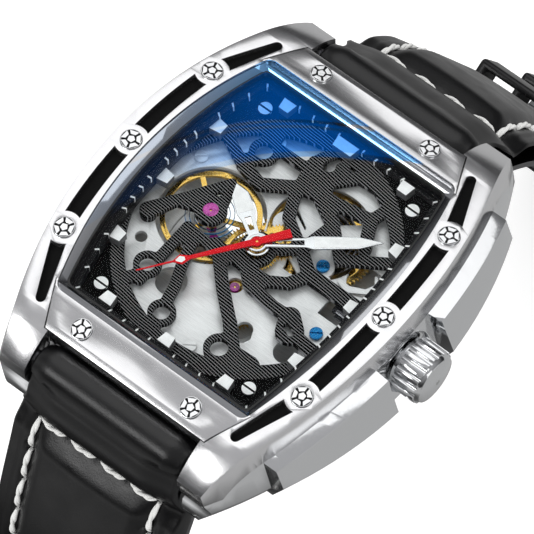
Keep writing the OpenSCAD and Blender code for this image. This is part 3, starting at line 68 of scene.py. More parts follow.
# The arcs that bound the painted blue sheen on the glass, and the way in which it gets stronger.
SHEEN_CENTRE, SHEEN_R = (25.84, -19.26), 41.66
LINE_CENTRE, LINE_R, LINE_W = (17.03, -12.42), 34.8, 0.4
ARC_SOFT = 0.08
SHEEN_AIM, SHEEN_FADE, SHEEN_FAINT = (0.72, 0.69, 0.0), (-8.5, 3.5), 0.12
# The net's lines fade out between two distances from the dial's centre, less along Y.
NET_SHAPE, NET_FADE = (1, 0.94, 0), (15.7, 16.1)
CAMERA_SHIFT = (1.158, -4.32)


def let_go():
    """Leave edit mode and select nothing."""
    active = bpy.context.view_layer.objects.active
    if active and active.mode != "OBJECT":
        bpy.ops.object.mode_set(mode="OBJECT")
    bpy.ops.object.select_all(action="DESELECT")


def pick(piece):
    """Make one piece the only selected one."""
    let_go()
    piece.select_set(True)
    bpy.context.view_layer.objects.active = piece


def edit(piece, mode="FACE"):
    """Open a piece in edit mode with nothing selected."""
    pick(piece)
    bpy.ops.object.mode_set(mode="EDIT")
    bpy.ops.mesh.select_mode(type=mode)
    bpy.ops.mesh.select_all(action="DESELECT")


def choose_faces(piece, test):
    """Select the faces whose centre and normal pass a test."""
    bpy.ops.object.mode_set(mode="OBJECT")
    for face in piece.data.polygons:
        face.select = test(face.center, face.normal)
    bpy.ops.object.mode_set(mode="EDIT")


def settle(piece, angle=30):
    """Put a piece's place into its mesh and smooth its shallow edges."""
    pick(piece)
    bpy.ops.object.transform_apply(location=True, rotation=True, scale=True)
    bpy.ops.object.shade_smooth_by_angle(angle=math.radians(angle))


def round_edges(piece, width, segments=2, angle=30):
    """Bevel the edges sharper than an angle."""
    pick(piece)
    bevel = piece.modifiers.new("round", "BEVEL")
    bevel.width = width
    bevel.segments = segments
    bevel.limit_method = "ANGLE"
    bevel.angle_limit = math.radians(angle)
    bevel.use_clamp_overlap = True
    bpy.ops.object.modifier_apply(modifier=bevel.name)


def stand(name, data):
    """A new object in the scene."""
    piece = bpy.data.objects.new(name, data)
    bpy.context.scene.collection.objects.link(piece)
    return piece


def face_outwards():
    """Turn every face of the open mesh outwards and leave edit mode."""
    bpy.ops.mesh.select_all(action="SELECT")
    bpy.ops.mesh.normals_make_consistent(inside=False)
    let_go()


def copy_of(node, name):
    """A merged copy of a solid, its flat faces whole again."""
    piece = stand(name, NODES[node].data.copy())
    edit(piece, "VERT")
    bpy.ops.mesh.select_all(action="SELECT")
    bpy.ops.mesh.remove_doubles(threshold=2e-6)
    bpy.ops.mesh.dissolve_limited(angle_limit=math.radians(0.4))
    bpy.ops.mesh.normals_make_consistent(inside=False)
    let_go()
    return piece


def fit(piece, body, slot, finish, *nodes):
    """Give a piece its finish and the body it moves with, and hide the solids it stands for."""
    if finish:
        piece.data.materials.clear()
        piece.data.materials.append(finish)
    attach(piece, body)
    if nodes:
        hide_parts(*nodes)
    return piece


def add_finish(piece, finish, test):
    """Give the faces that pass a test on centre and normal a further finish."""
    piece.data.materials.append(finish)
    index = len(piece.data.materials) - 1
    for face in piece.data.polygons:
        if test(face.center / MM, face.normal):
            face.material_index = index


def dress(node, body, slot, finish, width, segments=2):
    """Stand a round-edged copy in for a solid."""
    piece = copy_of(node, node + "_finished")
    round_edges(piece, width, segments)
    settle(piece)
    return fit(piece, body, slot, finish, node)


def paint(finish, *nodes):
    """Give solids that keep their shape a finish."""
    for node in nodes:
        NODES[node].data.materials.clear()
        NODES[node].data.materials.append(finish)


def join_as(name, pieces):
    """Join pieces into one, at the origin."""
    let_go()
    for piece in pieces:
        piece.select_set(True)
    bpy.context.view_layer.objects.active = pieces[0]
    if len(pieces) > 1:
        bpy.ops.object.join()
    pieces[0].name = name
    pieces[0].data.name = name
    return pieces[0]


def copies_at(model, matrices):
    """Copies of a piece with their own meshes, each put in place; the model goes."""
    made = []
    for matrix in matrices:
        piece = stand(model.name + "_copy", model.data.copy())
        piece.data.transform(matrix)
        made.append(piece)
    bpy.data.objects.remove(model)
    return made


def arch_z(y, depth=0.0):
    """Height of the arched top, or of a layer below it, in millimetres."""
    return CASE_TOP - ARCH_R + math.sqrt((ARCH_R - depth) ** 2 - y * y)


# Finishes


def base_finish(name, colour, metallic=0.0, roughness=0.4):
    """A new material and its main shader."""
    finish = bpy.data.materials.new(name)
    finish.use_nodes = True
    shader = finish.node_tree.nodes["Principled BSDF"]
    shader.inputs["Base Color"].default_value = (*colour, 1.0)
    shader.inputs["Metallic"].default_value = metallic
    shader.inputs["Roughness"].default_value = roughness
    return finish, shader


def put(finish, kind, sockets=None, **settings):
    """Add a node; plain values go to its sockets and sockets are linked to them."""
    made = finish.node_tree.nodes.new("ShaderNode" + kind)
    for key, value in settings.items():
        setattr(made, key, value)
    for key, value in (sockets or {}).items():
        if isinstance(value, bpy.types.NodeSocket):
            finish.node_tree.links.new(value, made.inputs[key])
        else:
            made.inputs[key].default_value = value
    return made


def link(finish, start, end):
    """Join two sockets."""
    finish.node_tree.links.new(start, end)


def seen_directly(finish, rays):
    """1 for what the camera sees, also through glass, and 0 for all else."""
    open_air, through = rays.outputs["Is Camera Ray"], rays.outputs["Is Transmission Ray"]
    return math_node(finish, "MAXIMUM", open_air, through)


def spread(finish, value, start, end, low=0.0, high=1.0, **settings):
    """Carry a value over from one range to another."""
    sockets = {
        "Value": value,
        "From Min": start,
        "From Max": end,
        "To Min": low,
        "To Max": high,
    }
    return put(finish, "MapRange", sockets, **settings).outputs["Result"]


def distance(finish, spot, centre):
    """Distance of a place from a fixed point."""
    made = put(finish, "VectorMath", {0: spot, 1: centre}, operation="DISTANCE")
    return made.outputs["Value"]


def lift(finish, height, strength, depth, below=None):
    """Raise the surface by a height, over another bump if there is one."""
    sockets = {"Height": height, "Strength": strength, "Distance": depth * MM}
    if below:
        sockets["Normal"] = below
    return put(finish, "Bump", sockets).outputs["Normal"]


def places(finish, stretch=(1, 1, 1), turn=0.0):
    """Object coordinates in millimetres, stretched and turned about the dial's axis."""
    spot = put(finish, "TexCoord").outputs["Object"]
    scale = tuple(s / MM for s in stretch)
    turned = put(
        finish, "Mapping", {"Vector": spot, "Rotation": (0, 0, turn)}, vector_type="POINT"
    )
    sized = put(finish, "Mapping", {"Vector": turned.outputs["Vector"], "Scale": scale})
    return sized.outputs["Vector"]


def grain(finish, shader, stretch, low, high, relief, depth=0.02, detail=3.0):
    """Fine marks that vary the roughness and lift the surface a little."""
    noise = put(
        finish,
        "TexNoise",
        {"Vector": places(finish, stretch), "Scale": 1.0, "Detail": detail},
    )
    marks = noise.outputs["Fac"]
    link(finish, spread(finish, marks, 0.3, 0.7, low, high), shader.inputs["Roughness"])
    link(finish, lift(finish, marks, relief, depth), shader.inputs["Normal"])
    return marks


def blend(finish, fac, low, high, start, end):
    """A colour between two tones, by a factor."""
    ramp = put(finish, "ValToRGB", {"Fac": fac})
    for stop, place, colour in zip(ramp.color_ramp.elements, (start, end), (low, high)):
        stop.position = place
        stop.color = (*colour, 1.0)
    return ramp.outputs["Color"]


def tone(finish, shader, fac, low, high, start=0.3, end=0.7):
    """Blend the base colour between two tones by a factor."""
    link(finish, blend(finish, fac, low, high, start, end), shader.inputs["Base Color"])


def show(finish, rays, plain, mirrored, output):
    """Show one shader as it is and another where polished surfaces mirror it."""
    both = put(
        finish,
        "MixShader",
        {0: rays.outputs["Is Glossy Ray"], 1: plain.outputs[0], 2: mirrored.outputs[0]},
    )
    link(finish, both.outputs[0], finish.node_tree.nodes[output].inputs["Surface"])


def math_node(finish, operation, a, b, clamp=False):
    """One sum of two values or sockets."""
    made = put(finish, "Math", {0: a, 1: b}, operation=operation, use_clamp=clamp)
    return made.outputs[0]


def arc_side(finish, spot, centre, radius):
    """1 outside an arc drawn on the dial's plane, 0 inside it."""
    away = distance(finish, spot, (*centre, 0.0))
    return spread(finish, away, radius - ARC_SOFT, radius + ARC_SOFT)


def coat_mask(finish):
    """Where the glass gets a painted blue sheen: beyond one arc, less a thin line, more to the
    upper right.
    """
    spot = places(finish, (1, 1, 0))
    outside = arc_side(finish, spot, SHEEN_CENTRE, SHEEN_R)
    above = arc_side(finish, spot, LINE_CENTRE, LINE_R + LINE_W / 2)
    below = arc_side(finish, spot, LINE_CENTRE, LINE_R - LINE_W / 2)
    line = math_node(finish, "SUBTRACT", below, above, True)
    gap = math_node(finish, "SUBTRACT", 1.0, line, True)
    along = put(finish, "VectorMath", {0: spot, 1: SHEEN_AIM}, operation="DOT_PRODUCT")
    strength = spread(finish, along.outputs["Value"], *SHEEN_FADE, SHEEN_FAINT, 1.0)
    shown = math_node(finish, "MULTIPLY", outside, gap)
    return math_node(finish, "MULTIPLY", shown, strength)


def polished_steel():
    """Steel that mirrors its surroundings, very slightly uneven."""
    finish, shader = base_finish("polished_steel", (0.80, 0.81, 0.82), 1.0, 0.1)
    grain(finish, shader, (2.5, 2.5, 2.5), 0.07, 0.15, 0.02)
    return finish


def satin_steel():
    """Steel with a softer, silky gloss."""
    finish, shader = base_finish("satin_steel", (0.83, 0.83, 0.84), 1.0, 0.25)
    grain(finish, shader, (0.4, 0.4, 0.4), 0.2, 0.25, 0.0)
    return finish


def ring_steel():
    """Darker steel round the glass, with a painted blue reflection where the glass's painted sheen
    lies.
    """
    finish, shader = base_finish("ring_steel", (0.82, 0.83, 0.85), 1.0, 0.1)
    grain(finish, shader, (3, 3, 3), 0.08, 0.14, 0.01)
    # Painted reflection: the base colour turns blue inside the sheen mask.
    tone(finish, shader, coat_mask(finish), (0.5, 0.51, 0.53), (0.22, 0.52, 0.95), 0.0, 1.0)
    return finish


def clear_glass(name, with_painted_sheen):
    """Clear glass that mirrors a little, with or without a painted blue sheen."""
    finish, shader = base_finish(name, (1, 1, 1))
    nodes = finish.node_tree.nodes
    nodes.remove(shader)
    output = nodes["Material Output"]
    clear = put(finish, "BsdfTransparent", {"Color": (0.97, 0.98, 0.98, 1)})
    mirror = put(finish, "BsdfGlossy", {"Color": (1, 1, 1, 1), "Roughness": 0.02})
    fresnel = put(finish, "Fresnel", {"IOR": 1.45})
    faint = math_node(finish, "MULTIPLY", fresnel.outputs[0], 0.05)
    body = put(finish, "MixShader", {0: faint, 1: clear.outputs[0], 2: mirror.outputs[0]})
    if with_painted_sheen:
        # Painted reflection: on upward faces inside the mask, a blue see-through layer and a dark
        # navy diffuse paint the blue sheen that a coated glass reflects.
        blue = put(finish, "BsdfTransparent", {"Color": (0.4, 0.66, 0.98, 1)})
        glow = put(finish, "BsdfDiffuse", {"Color": (0.0, 0.028, 0.11, 1)})
        facing = put(finish, "NewGeometry").outputs["Normal"]
        split = put(finish, "SeparateXYZ", {0: facing})
        upward = math_node(finish, "GREATER_THAN", split.outputs["Z"], 0.5)
        upper = math_node(finish, "MULTIPLY", upward, coat_mask(finish))
        painted_sheen_layer = put(finish, "AddShader", {0: blue.outputs[0], 1: glow.outputs[0]})
        body = put(finish, "MixShader", {0: upper, 1: body.outputs[0], 2: painted_sheen_layer.outputs[0]})
    link(finish, body.outputs[0], output.inputs["Surface"])
    return finish


def net_black(pitch):
    """Black plate with fine wavy lines that stop at the dial's corners."""
    finish, shader = base_finish("net_black", (0.008, 0.008, 0.009), 0.0, 0.42)
    shader.inputs["Specular IOR Level"].default_value = 0.03
    waves = put(
        finish,
        "TexWave",
        {
            "Vector": places(finish, (1, 1, 0), 0.1),
            "Scale": 2 * math.pi / (20 * pitch),
            "Distortion": 5.0,
            "Detail": 0.0,
            "Detail Scale": 0.25,
        },
        bands_direction="Y",
    )
    reach = distance(finish, places(finish, NET_SHAPE), (0, 0, 0))
    fade = spread(finish, reach, *NET_FADE, 1.0, 0.0)
    lines = math_node(finish, "MULTIPLY", waves.outputs["Fac"], fade)
    tone(finish, shader, lines, (0.002, 0.002, 0.0023), (0.3, 0.3, 0.31), 0.8, 0.99)
    link(finish, lift(finish, lines, 0.06, 0.03), shader.inputs["Normal"])
    return finish


def silver_plate():
    """Pale plate with fine straight brushing."""
    finish, shader = base_finish("silver_plate", (0.92, 0.92, 0.92), 0.4, 0.35)
    noise = grain(finish, shader, (0.7, 9, 9), 0.3, 0.48, 0.12, detail=5.0)
    tone(finish, shader, noise, (0.78, 0.78, 0.78), (0.97, 0.97, 0.97))
    return finish


def gold_metal():
    """Gilt brass of the wheels."""
    finish, shader = base_finish("gold_metal", (0.86, 0.56, 0.13), 1.0, 0.25)
    noise = grain(finish, shader, (5, 5, 5), 0.18, 0.32, 0.04)
    tone(finish, shader, noise, (0.78, 0.46, 0.08), (0.95, 0.68, 0.22))
    return finish


def blued_steel():
    """Steel heated until it is blue."""
    finish, shader = base_finish("blued_steel", (0.01, 0.17, 0.42), 0.85, 0.25)
    noise = grain(finish, shader, (8, 1.2, 8), 0.18, 0.34, 0.05)
    tone(finish, shader, noise, (0.008, 0.12, 0.33), (0.015, 0.22, 0.5))
    return finish


def dark_steel():
    """Grey steel of arbors, springs and bars."""
    finish, shader = base_finish("dark_steel", (0.14, 0.14, 0.15), 1.0, 0.35)
    noise = grain(finish, shader, (4, 4, 4), 0.25, 0.42, 0.05)
    tone(finish, shader, noise, (0.09, 0.09, 0.1), (0.2, 0.2, 0.21))
    return finish


def ruby():
    """Clear red-violet stone of the bearings."""
    finish, shader = base_finish("ruby", (0.55, 0.03, 0.42), 0.0, 0.06)
    shader.inputs["Coat Weight"].default_value = 0.6
    noise = grain(finish, shader, (1.5, 1.5, 1.5), 0.05, 0.1, 0.0)
    tone(finish, shader, noise, (0.28, 0.006, 0.2), (0.65, 0.05, 0.45))
    return finish


def lacquer(name, colour, roughness, coat=0.0):
    """Smooth paint with a faint unevenness."""
    finish, shader = base_finish(name, colour, 0.0, roughness)
    shader.inputs["Coat Weight"].default_value = coat
    shader.inputs["Coat Roughness"].default_value = 0.08
    shader.inputs["Specular IOR Level"].default_value = 0.15
    noise = grain(finish, shader, (1.2, 1.2, 1.2), roughness * 0.8, roughness * 1.3, 0.02)
    paler = tuple(min(c * 1.08 + 0.002, 1) for c in colour)
    tone(finish, shader, noise, tuple(c * 0.92 for c in colour), paler)
    return finish


def deep_black(name, colour, roughness):
    """Black that mirrors next to nothing."""
    finish, shader = base_finish(name, colour, 0.0, roughness)
    shader.inputs["Specular IOR Level"].default_value = 0.12
    noise = grain(finish, shader, (5, 5, 5), roughness * 0.8, roughness * 1.2, 0.05)
    paler = tuple(c * 1.6 for c in colour)
    tone(finish, shader, noise, colour, paler)
    return finish


def leather(colour):
    """Smooth black leather: soft gloss, fine pores and a faint cloudiness."""
    finish, shader = base_finish("black_leather", colour, 0.0, 0.36)
    shader.inputs["Specular IOR Level"].default_value = 0.5
    spot = places(finish)
    cloud = put(finish, "TexNoise", {"Vector": spot, "Scale": 0.35, "Detail": 2.0})
    pores = put(finish, "TexVoronoi", {"Vector": spot, "Scale": 5.5})
    fine = put(finish, "TexNoise", {"Vector": spot, "Scale": 9.0, "Detail": 4.0})
    gloss = spread(finish, cloud.outputs["Fac"], 0.3, 0.7, 0.28, 0.38)
    link(finish, gloss, shader.inputs["Roughness"])
    paler = tuple(c * 1.6 for c in colour)
    tone(finish, shader, cloud.outputs["Fac"], colour, paler)
    skin = lift(finish, pores.outputs["Distance"], 0.16, 0.05)
    both = lift(finish, fine.outputs["Fac"], 0.12, 0.03, skin)
    link(finish, both, shader.inputs["Normal"])
    return finish


def thread(colour):
    """Waxed two-ply thread with fibres along it."""
    finish, shader = base_finish("white_thread", colour, 0.0, 0.6)
    shader.inputs["Sheen Weight"].default_value = 0.3
    noise = grain(finish, shader, (9, 9, 9), 0.5, 0.75, 0.3, 0.03)
    dark = tuple(c * 0.86 for c in colour)
    tone(finish, shader, noise, dark, colour)
    return finish


def soft_grey(name, colour, roughness):
    """Suede lining, moulded plastic and rubber."""
    finish, shader = base_finish(name, colour, 0.0, roughness)
    noise = grain(finish, shader, (6, 6, 6), roughness * 0.85, roughness, 0.2, 0.03)
    paler = tuple(c * 1.35 + 0.002 for c in colour)
    tone(finish, shader, noise, colour, paler)
    return finish


def shared(maker):
    """A finish that is made once; its maker has its name."""
    return bpy.data.materials.get(maker.__name__) or maker()


# Settings


class CaseSettings(bpy.types.PropertyGroup):
    edge: bpy.props.FloatProperty(
        name="Edge rounding",
        description="Bevel on the edges of case and bezel",
        default=0.1 * MM,
        min=0.0,
        unit="LENGTH",
    )
    screw_radius: bpy.props.FloatProperty(
        name="Screw radius",
        description="Radius of a bezel screw's head",
        default=1.25 * MM,
        unit="LENGTH",
    )
    screw_rim: bpy.props.FloatProperty(
        name="Screw rim",
        description="Width of the rim round a bezel screw's recess",
        default=0.13 * MM,
        unit="LENGTH",
    )


class DialSettings(bpy.types.PropertyGroup):
    groove_pitch: bpy.props.FloatProperty(
        name="Groove pitch",
        description="Distance between the net's grooves, in millimetres",
        default=0.31,
        min=0.1,
    )
    tick_length: bpy.props.FloatProperty(
        name="Tick length",
        description="Length of a minute tick",
        default=0.9 * MM,
        unit="LENGTH",
    )
    tick_width: bpy.props.FloatProperty(
        name="Tick width",
        description="Width of a minute tick",
        default=0.2 * MM,
        unit="LENGTH",
    )


class StrapSettings(bpy.types.PropertyGroup):
    leather: bpy.props.FloatVectorProperty(
        name="Leather",
        description="Colour of the outer leather",
        default=(0.002, 0.002, 0.0023),
        subtype="COLOR",
        min=0.0,
        max=1.0,
    )
    thread: bpy.props.FloatVectorProperty(
        name="Thread",
        description="Colour of the stitching",
        default=(0.95, 0.95, 0.93),
        subtype="COLOR",
        min=0.0,
        max=1.0,
    )
    pitch: bpy.props.FloatProperty(
        name="Stitch pitch",
        description="Distance from one stitch to the next, in millimetres",
        default=4.9,
        min=2.0,
    )
    gap: bpy.props.FloatProperty(
        name="Stitch gap",
        description="Distance between two stitches, in millimetres",
        default=0.7,
        min=0.1,
    )
    inset: bpy.props.FloatProperty(
        name="Stitch inset",
        description="Distance of the side rows from the strap's edge, in millimetres",
        default=3.1,
        min=1.0,
    )
    thread_radius: bpy.props.FloatProperty(
        name="Thread radius",
        description="Radius of the twisted thread, in millimetres",
        default=0.36,
        min=0.1,
    )


class StudioSettings(bpy.types.PropertyGroup):
    lens: bpy.props.FloatProperty(
        name="Lens",
        description="Focal length of the camera, in millimetres",
        default=453.7,
    )
    distance: bpy.props.FloatProperty(
        name="Camera distance",
        description="Distance from the camera to the watch head",
        default=0.735,
        unit="LENGTH",
    )
    azimuth: bpy.props.FloatProperty(
        name="Camera azimuth",
        description="Turn of the camera round the watch",
        default=math.radians(41.1),
        unit="ROTATION",
    )
    elevation: bpy.props.FloatProperty(
        name="Camera elevation",
        description="Height of the camera above the horizon",
        default=math.radians(60.9),
        unit="ROTATION",
    )
    roll: bpy.props.FloatProperty(
        name="Camera roll",
        description="Tilt of the picture",
        default=math.radians(-2.1),
        unit="ROTATION",
    )
    floor: bpy.props.FloatVectorProperty(
        name="Floor",
        description="Colour of the floor",
        default=(0.8, 0.8, 0.8),
        subtype="COLOR",
        min=0.0,
        max=1.0,
    )


# Case and bezel


def bezel_places():
    """Where the ten bezel screws sit: x, y in millimetres."""
    spots = [(x * SIDE_SCREW[0], 0.0) for x in (-1, 1)]
    for sx in (-1, 1):
        for sy in (-1, 1):
            spots.append((sx * CORNER_SCREW[0], sy * CORNER_SCREW[1]))
            spots.append((sx * PLATE_SCREW[0], sy * PLATE_SCREW[1]))
    return spots


HEAD_ABOVE, HEAD_DEPTH, RECESS_DEPTH = 0.15, 1.05, 0.3
STUD_R, STUD_TAPER, STUD_DEPTH = 0.55, 0.88, 0.36
PAD_SIZE, PAD_FLARE, PAD_OUT, PAD_SUNK = (0.5, 0.6, 0.36), 1.95, 0.8, 0.03


def screw_head(radius, rim, bright, dark):
    """A round head: inside the rim a recess, painted dark as shade, holds a five-sided stud and
    five pads.
    """
    let_go()
    bpy.ops.mesh.primitive_cylinder_add(
        vertices=48,
        radius=radius,
        depth=HEAD_DEPTH * MM,
        location=(0, 0, (HEAD_ABOVE - HEAD_DEPTH / 2) * MM),
    )
    head = bpy.context.object
    settle(head)
    edit(head)
    choose_faces(head, lambda c, n: n.z > 0.9)
    bpy.ops.mesh.inset(thickness=rim, depth=0)
    bpy.ops.mesh.extrude_region_move(
        TRANSFORM_OT_translate={"value": (0, 0, -RECESS_DEPTH * MM)}
    )
    let_go()
    round_edges(head, 0.05 * MM)
    head.data.materials.append(bright)

    # Painted shade: the recess's floor and the walls that face the axis get the dark finish.
    def in_recess(c, n):
        faces_axis = n.x * c.x + n.y * c.y < -0.3
        on_floor = n.z > 0.9 and c.z < 0
        return c.z > HEAD_ABOVE - RECESS_DEPTH - 0.05 and (faces_axis or on_floor)

    add_finish(head, dark, in_recess)
    let_go()
    bpy.ops.mesh.primitive_cylinder_add(
        vertices=5, radius=STUD_R * MM, depth=STUD_DEPTH * MM, location=(0, 0, -0.02 * MM)
    )
    stud = bpy.context.object
    settle(stud)
    edit(stud)
    choose_faces(stud, lambda c, n: n.z > 0.9)
    bpy.ops.transform.resize(value=(STUD_TAPER, STUD_TAPER, 1))
    let_go()
    round_edges(stud, 0.03 * MM, 2, 20)
    let_go()
    bpy.ops.mesh.primitive_cube_add(size=MM, location=(0, 0, 0))
    pad = bpy.context.object
    pad.scale = PAD_SIZE
    settle(pad)
    edit(pad)
    choose_faces(pad, lambda c, n: n.x > 0.9)
    bpy.ops.transform.resize(value=(1, PAD_FLARE, 1))
    let_go()
    round_edges(pad, 0.04 * MM, 2)
    for piece in (stud, pad):
        piece.data.materials.append(bright)
    step = math.radians(72)
    out = Matrix.Translation((PAD_OUT * MM, 0, -PAD_SUNK * MM))
    turns = [Matrix.Rotation(step * (i + 0.5), 4, "Z") @ out for i in range(5)]
    whole = join_as("screw_head", [head, stud] + copies_at(pad, turns))
    settle(whole)
    return whole


class WATCH_OT_case(bpy.types.Operator):
    """Give the mid-case and the bezel their steel and soft edges"""

    bl_idname = "watch.case"
    bl_label = "Case and Bezel"

    def execute(self, context):
        edge = context.scene.watch_case.edge
        bright = shared(polished_steel)
        satin = shared(satin_steel)
        dress("mid_case", "case", "steel_polished", bright, edge)
        for node in ("bezel_rail_left", "bezel_rail_right", "bezel_end_top", "bezel_end_bottom"):
            dress(node, "case", "steel_brushed", satin, edge)
        ring = copy_of("crystal_ring", "sloping_ring")
        # The inner edge of its top goes down, so that the ring slopes towards the glass.
        for vertex in ring.data.vertices:
            x, y, z = vertex.co / MM
            edge_at = tonneau_reach(math.atan2(x, y), RING_HW, RING_HL, FLANGE_SIDE_R)
            inner = edge_at > math.hypot(x, y)
            if inner and z > arch_z(y, 0.6):
                vertex.co.z -= RING_SLOPE * MM
        round_edges(ring, edge * 0.5)
        settle(ring)
        fit(ring, "case", "steel_polished", ring_steel(), "crystal_ring")
        paint(deep_black("slot_black", (0.002, 0.002, 0.002), 0.6), "slot_inserts")
        paint(bright, "crown_tube")
        return {"FINISHED"}


class WATCH_OT_bezel_screws(bpy.types.Operator):
    """Set ten screws with five-sided recesses in the bezel"""

    bl_idname = "watch.bezel_screws"
    bl_label = "Bezel Screws"

    def execute(self, context):
        sizes = context.scene.watch_case
        bright = shared(polished_steel)
        # The screws' recesses are painted dark as shade.
        dark = deep_black("recess_painted_shade", (0.012, 0.012, 0.013), 0.4)
        head = screw_head(sizes.screw_radius, sizes.screw_rim, bright, dark)
        matrices = []
        for index, (x, y) in enumerate(bezel_places()):
            lean = Matrix.Rotation(-math.asin(y / ARCH_R), 4, "X")
            turn = Matrix.Rotation(index * SCREW_TURN, 4, "Z")
            place = Matrix.Translation((x * MM, y * MM, arch_z(y) * MM))
            matrices.append(place @ lean @ turn)
        screws = join_as("bezel_screw_heads", copies_at(head, matrices))
        fit(screws, "case", "steel_polished", None, "bezel_screws")
        return {"FINISHED"}


class WATCH_OT_glass(bpy.types.Operator):
    """Glaze the front with glass that carries a painted blue sheen and the back with clear glass
    """

    bl_idname = "watch.glass"
    bl_label = "Glass"

    def execute(self, context):
        # The front glass carries the painted blue sheen.
        paint(clear_glass("sheen_painted_glass", True), "front_crystal")
        paint(clear_glass("back_glass", False), "back_crystal")
        seal = soft_grey("seal_black", (0.012, 0.012, 0.012), 0.5)
        paint(seal, "crystal_gasket", "back_gasket")
        return {"FINISHED"}


# Dial


def tonneau_reach(angle, half_width, half_length, side_radius):
    """Distance from the centre to a tonneau outline in a direction, in millimetres."""
    dx, dy = math.sin(angle), math.cos(angle)
    reach = half_length / abs(dy) if abs(dy) > 1e-6 else 1e6
    centre = side_radius - half_width
    along = -centre * abs(dx)
    side = along + math.sqrt(along * along + side_radius**2 - centre**2)
    return min(reach, side)


class WATCH_OT_dial(bpy.types.Operator):
    """Finish the flange, its minute ticks, the hour blocks and the net"""

    bl_idname = "watch.dial"
    bl_label = "Dial"

    def execute(self, context):
        sizes = context.scene.watch_dial
        black = deep_black("dial_black", (0.005, 0.005, 0.006), 0.4)
        white = lacquer("dial_white", (0.95, 0.95, 0.95), 0.45)
        net = net_black(sizes.groove_pitch)
        dress("flange", "case", "black_plate", black, 0.04 * MM)
        blocks = dress("hour_markers", "case", "white_paint", white, 0.05 * MM)
        shade = lacquer("block_side", (0.12, 0.12, 0.125), 0.35, 0.2)
        add_finish(blocks, shade, lambda c, n: n.z < 0.4)
        dress("dial_plate", "case", "black_plate", net, 0.05 * MM)
        screws = dress("dial_screws", "case", "white_paint", white, 0.04 * MM)
        # Painted shade: the faces inside the screws' slots are black.
        add_finish(screws, black, lambda c, n: DIAL_Z + SLOT_LOW < c.z < DIAL_Z + SLOT_HIGH)
        ticks = join_as("minute_ticks", self.ticks(sizes))
        settle(ticks)
        fit(ticks, "case", "white_paint", white)
        return {"FINISHED"}

    def ticks(self, sizes):
        """A tick at each minute that has no hour block, laid over the flange's inner edge."""
        flat = self.bar((sizes.tick_width, TICK_TOP * MM, TICK_T * MM))
        upright = self.bar((sizes.tick_width, TICK_T * MM, sizes.tick_length))
        inwards = TICK_TOP / 2 + 2 * CLEAR
        down = Matrix.Translation((0, -inwards * MM, -sizes.tick_length / 2))
        places_flat = []
        for minute in range(60):
            if minute % 5 == 0:
                continue
            angle = math.radians(minute * 6)
            edge_at = tonneau_reach(angle, FLANGE_HW, FLANGE_HL, FLANGE_SIDE_R)
            reach = edge_at + (TICK_TOP / 2 + CLEAR)
            x, y = reach * math.sin(angle), reach * math.cos(angle)
            place = Matrix.Translation(Vector((x, y, arch_z(y, FLANGE_DEPTH) + CLEAR)) * MM)
            places_flat.append(place @ Matrix.Rotation(-angle, 4, "Z"))
        places_upright = [place @ down for place in places_flat]
        return copies_at(flat, places_flat) + copies_at(upright, places_upright)

    def bar(self, size):
        """A small bar with soft edges."""
        let_go()
        bpy.ops.mesh.primitive_cube_add(size=1)
        piece = bpy.context.object
        piece.scale = size
        settle(piece)
        round_edges(piece, 0.015 * MM, 1)
        return piece


# Movement


class WATCH_OT_movement(bpy.types.Operator):
    """Finish plates, bridges, wheels, springs, jewels and screws"""

    bl_idname = "watch.movement"
    bl_label = "Movement"

    def execute(self, context):
        # The solids bring a gold_metal of their own, so these aren't looked up.
        silver, gold, blue, dark = silver_plate(), gold_metal(), blued_steel(), dark_steel()
        dress("main_plate", "case", "bridge_metal", silver, 0.05 * MM)
        dress("train_bridge", "case", "bridge_metal", silver, 0.08 * MM)
        dress("balance_cock", "case", "black_plate", bpy.data.materials["net_black"], 0.05 * MM)
        screws = dress("bridge_screws", "case", "blue_steel", blue, 0.04 * MM)
        for x, y in PALE_SCREWS:
            add_finish(screws, silver, lambda c, n: math.hypot(c.x - x, c.y - y) < 1.4)
        dress("yoke_lever", "case", "white_paint", silver, 0.04 * MM)
        paint(silver, "pallet_bridge")
        for node, body in (
            ("barrel", "going_barrel"),
            ("centre_wheel", "minutes"),
            ("third_wheel", "third"),
            ("fourth_wheel", "seconds"),
            ("escape_wheel", "escape"),
            ("balance_wheel", "balance"),
            ("cannon_pinion", "minutes"),
            ("minute_wheel", "motion_wheel"),
            ("hour_wheel", "hours"),
        ):
            dress(node, body, "gold_metal", gold, 0.02 * MM)
        paint(blue, "hairspring")
        paint(dark, "barrel_arbor", "mainspring", "pallet_fork", "winding_stem", "winding_pinion")
        paint(ruby(), "jewels")
        paint(soft_grey("ring_grey", (0.16, 0.16, 0.17), 0.45), "movement_ring")
        return {"FINISHED"}


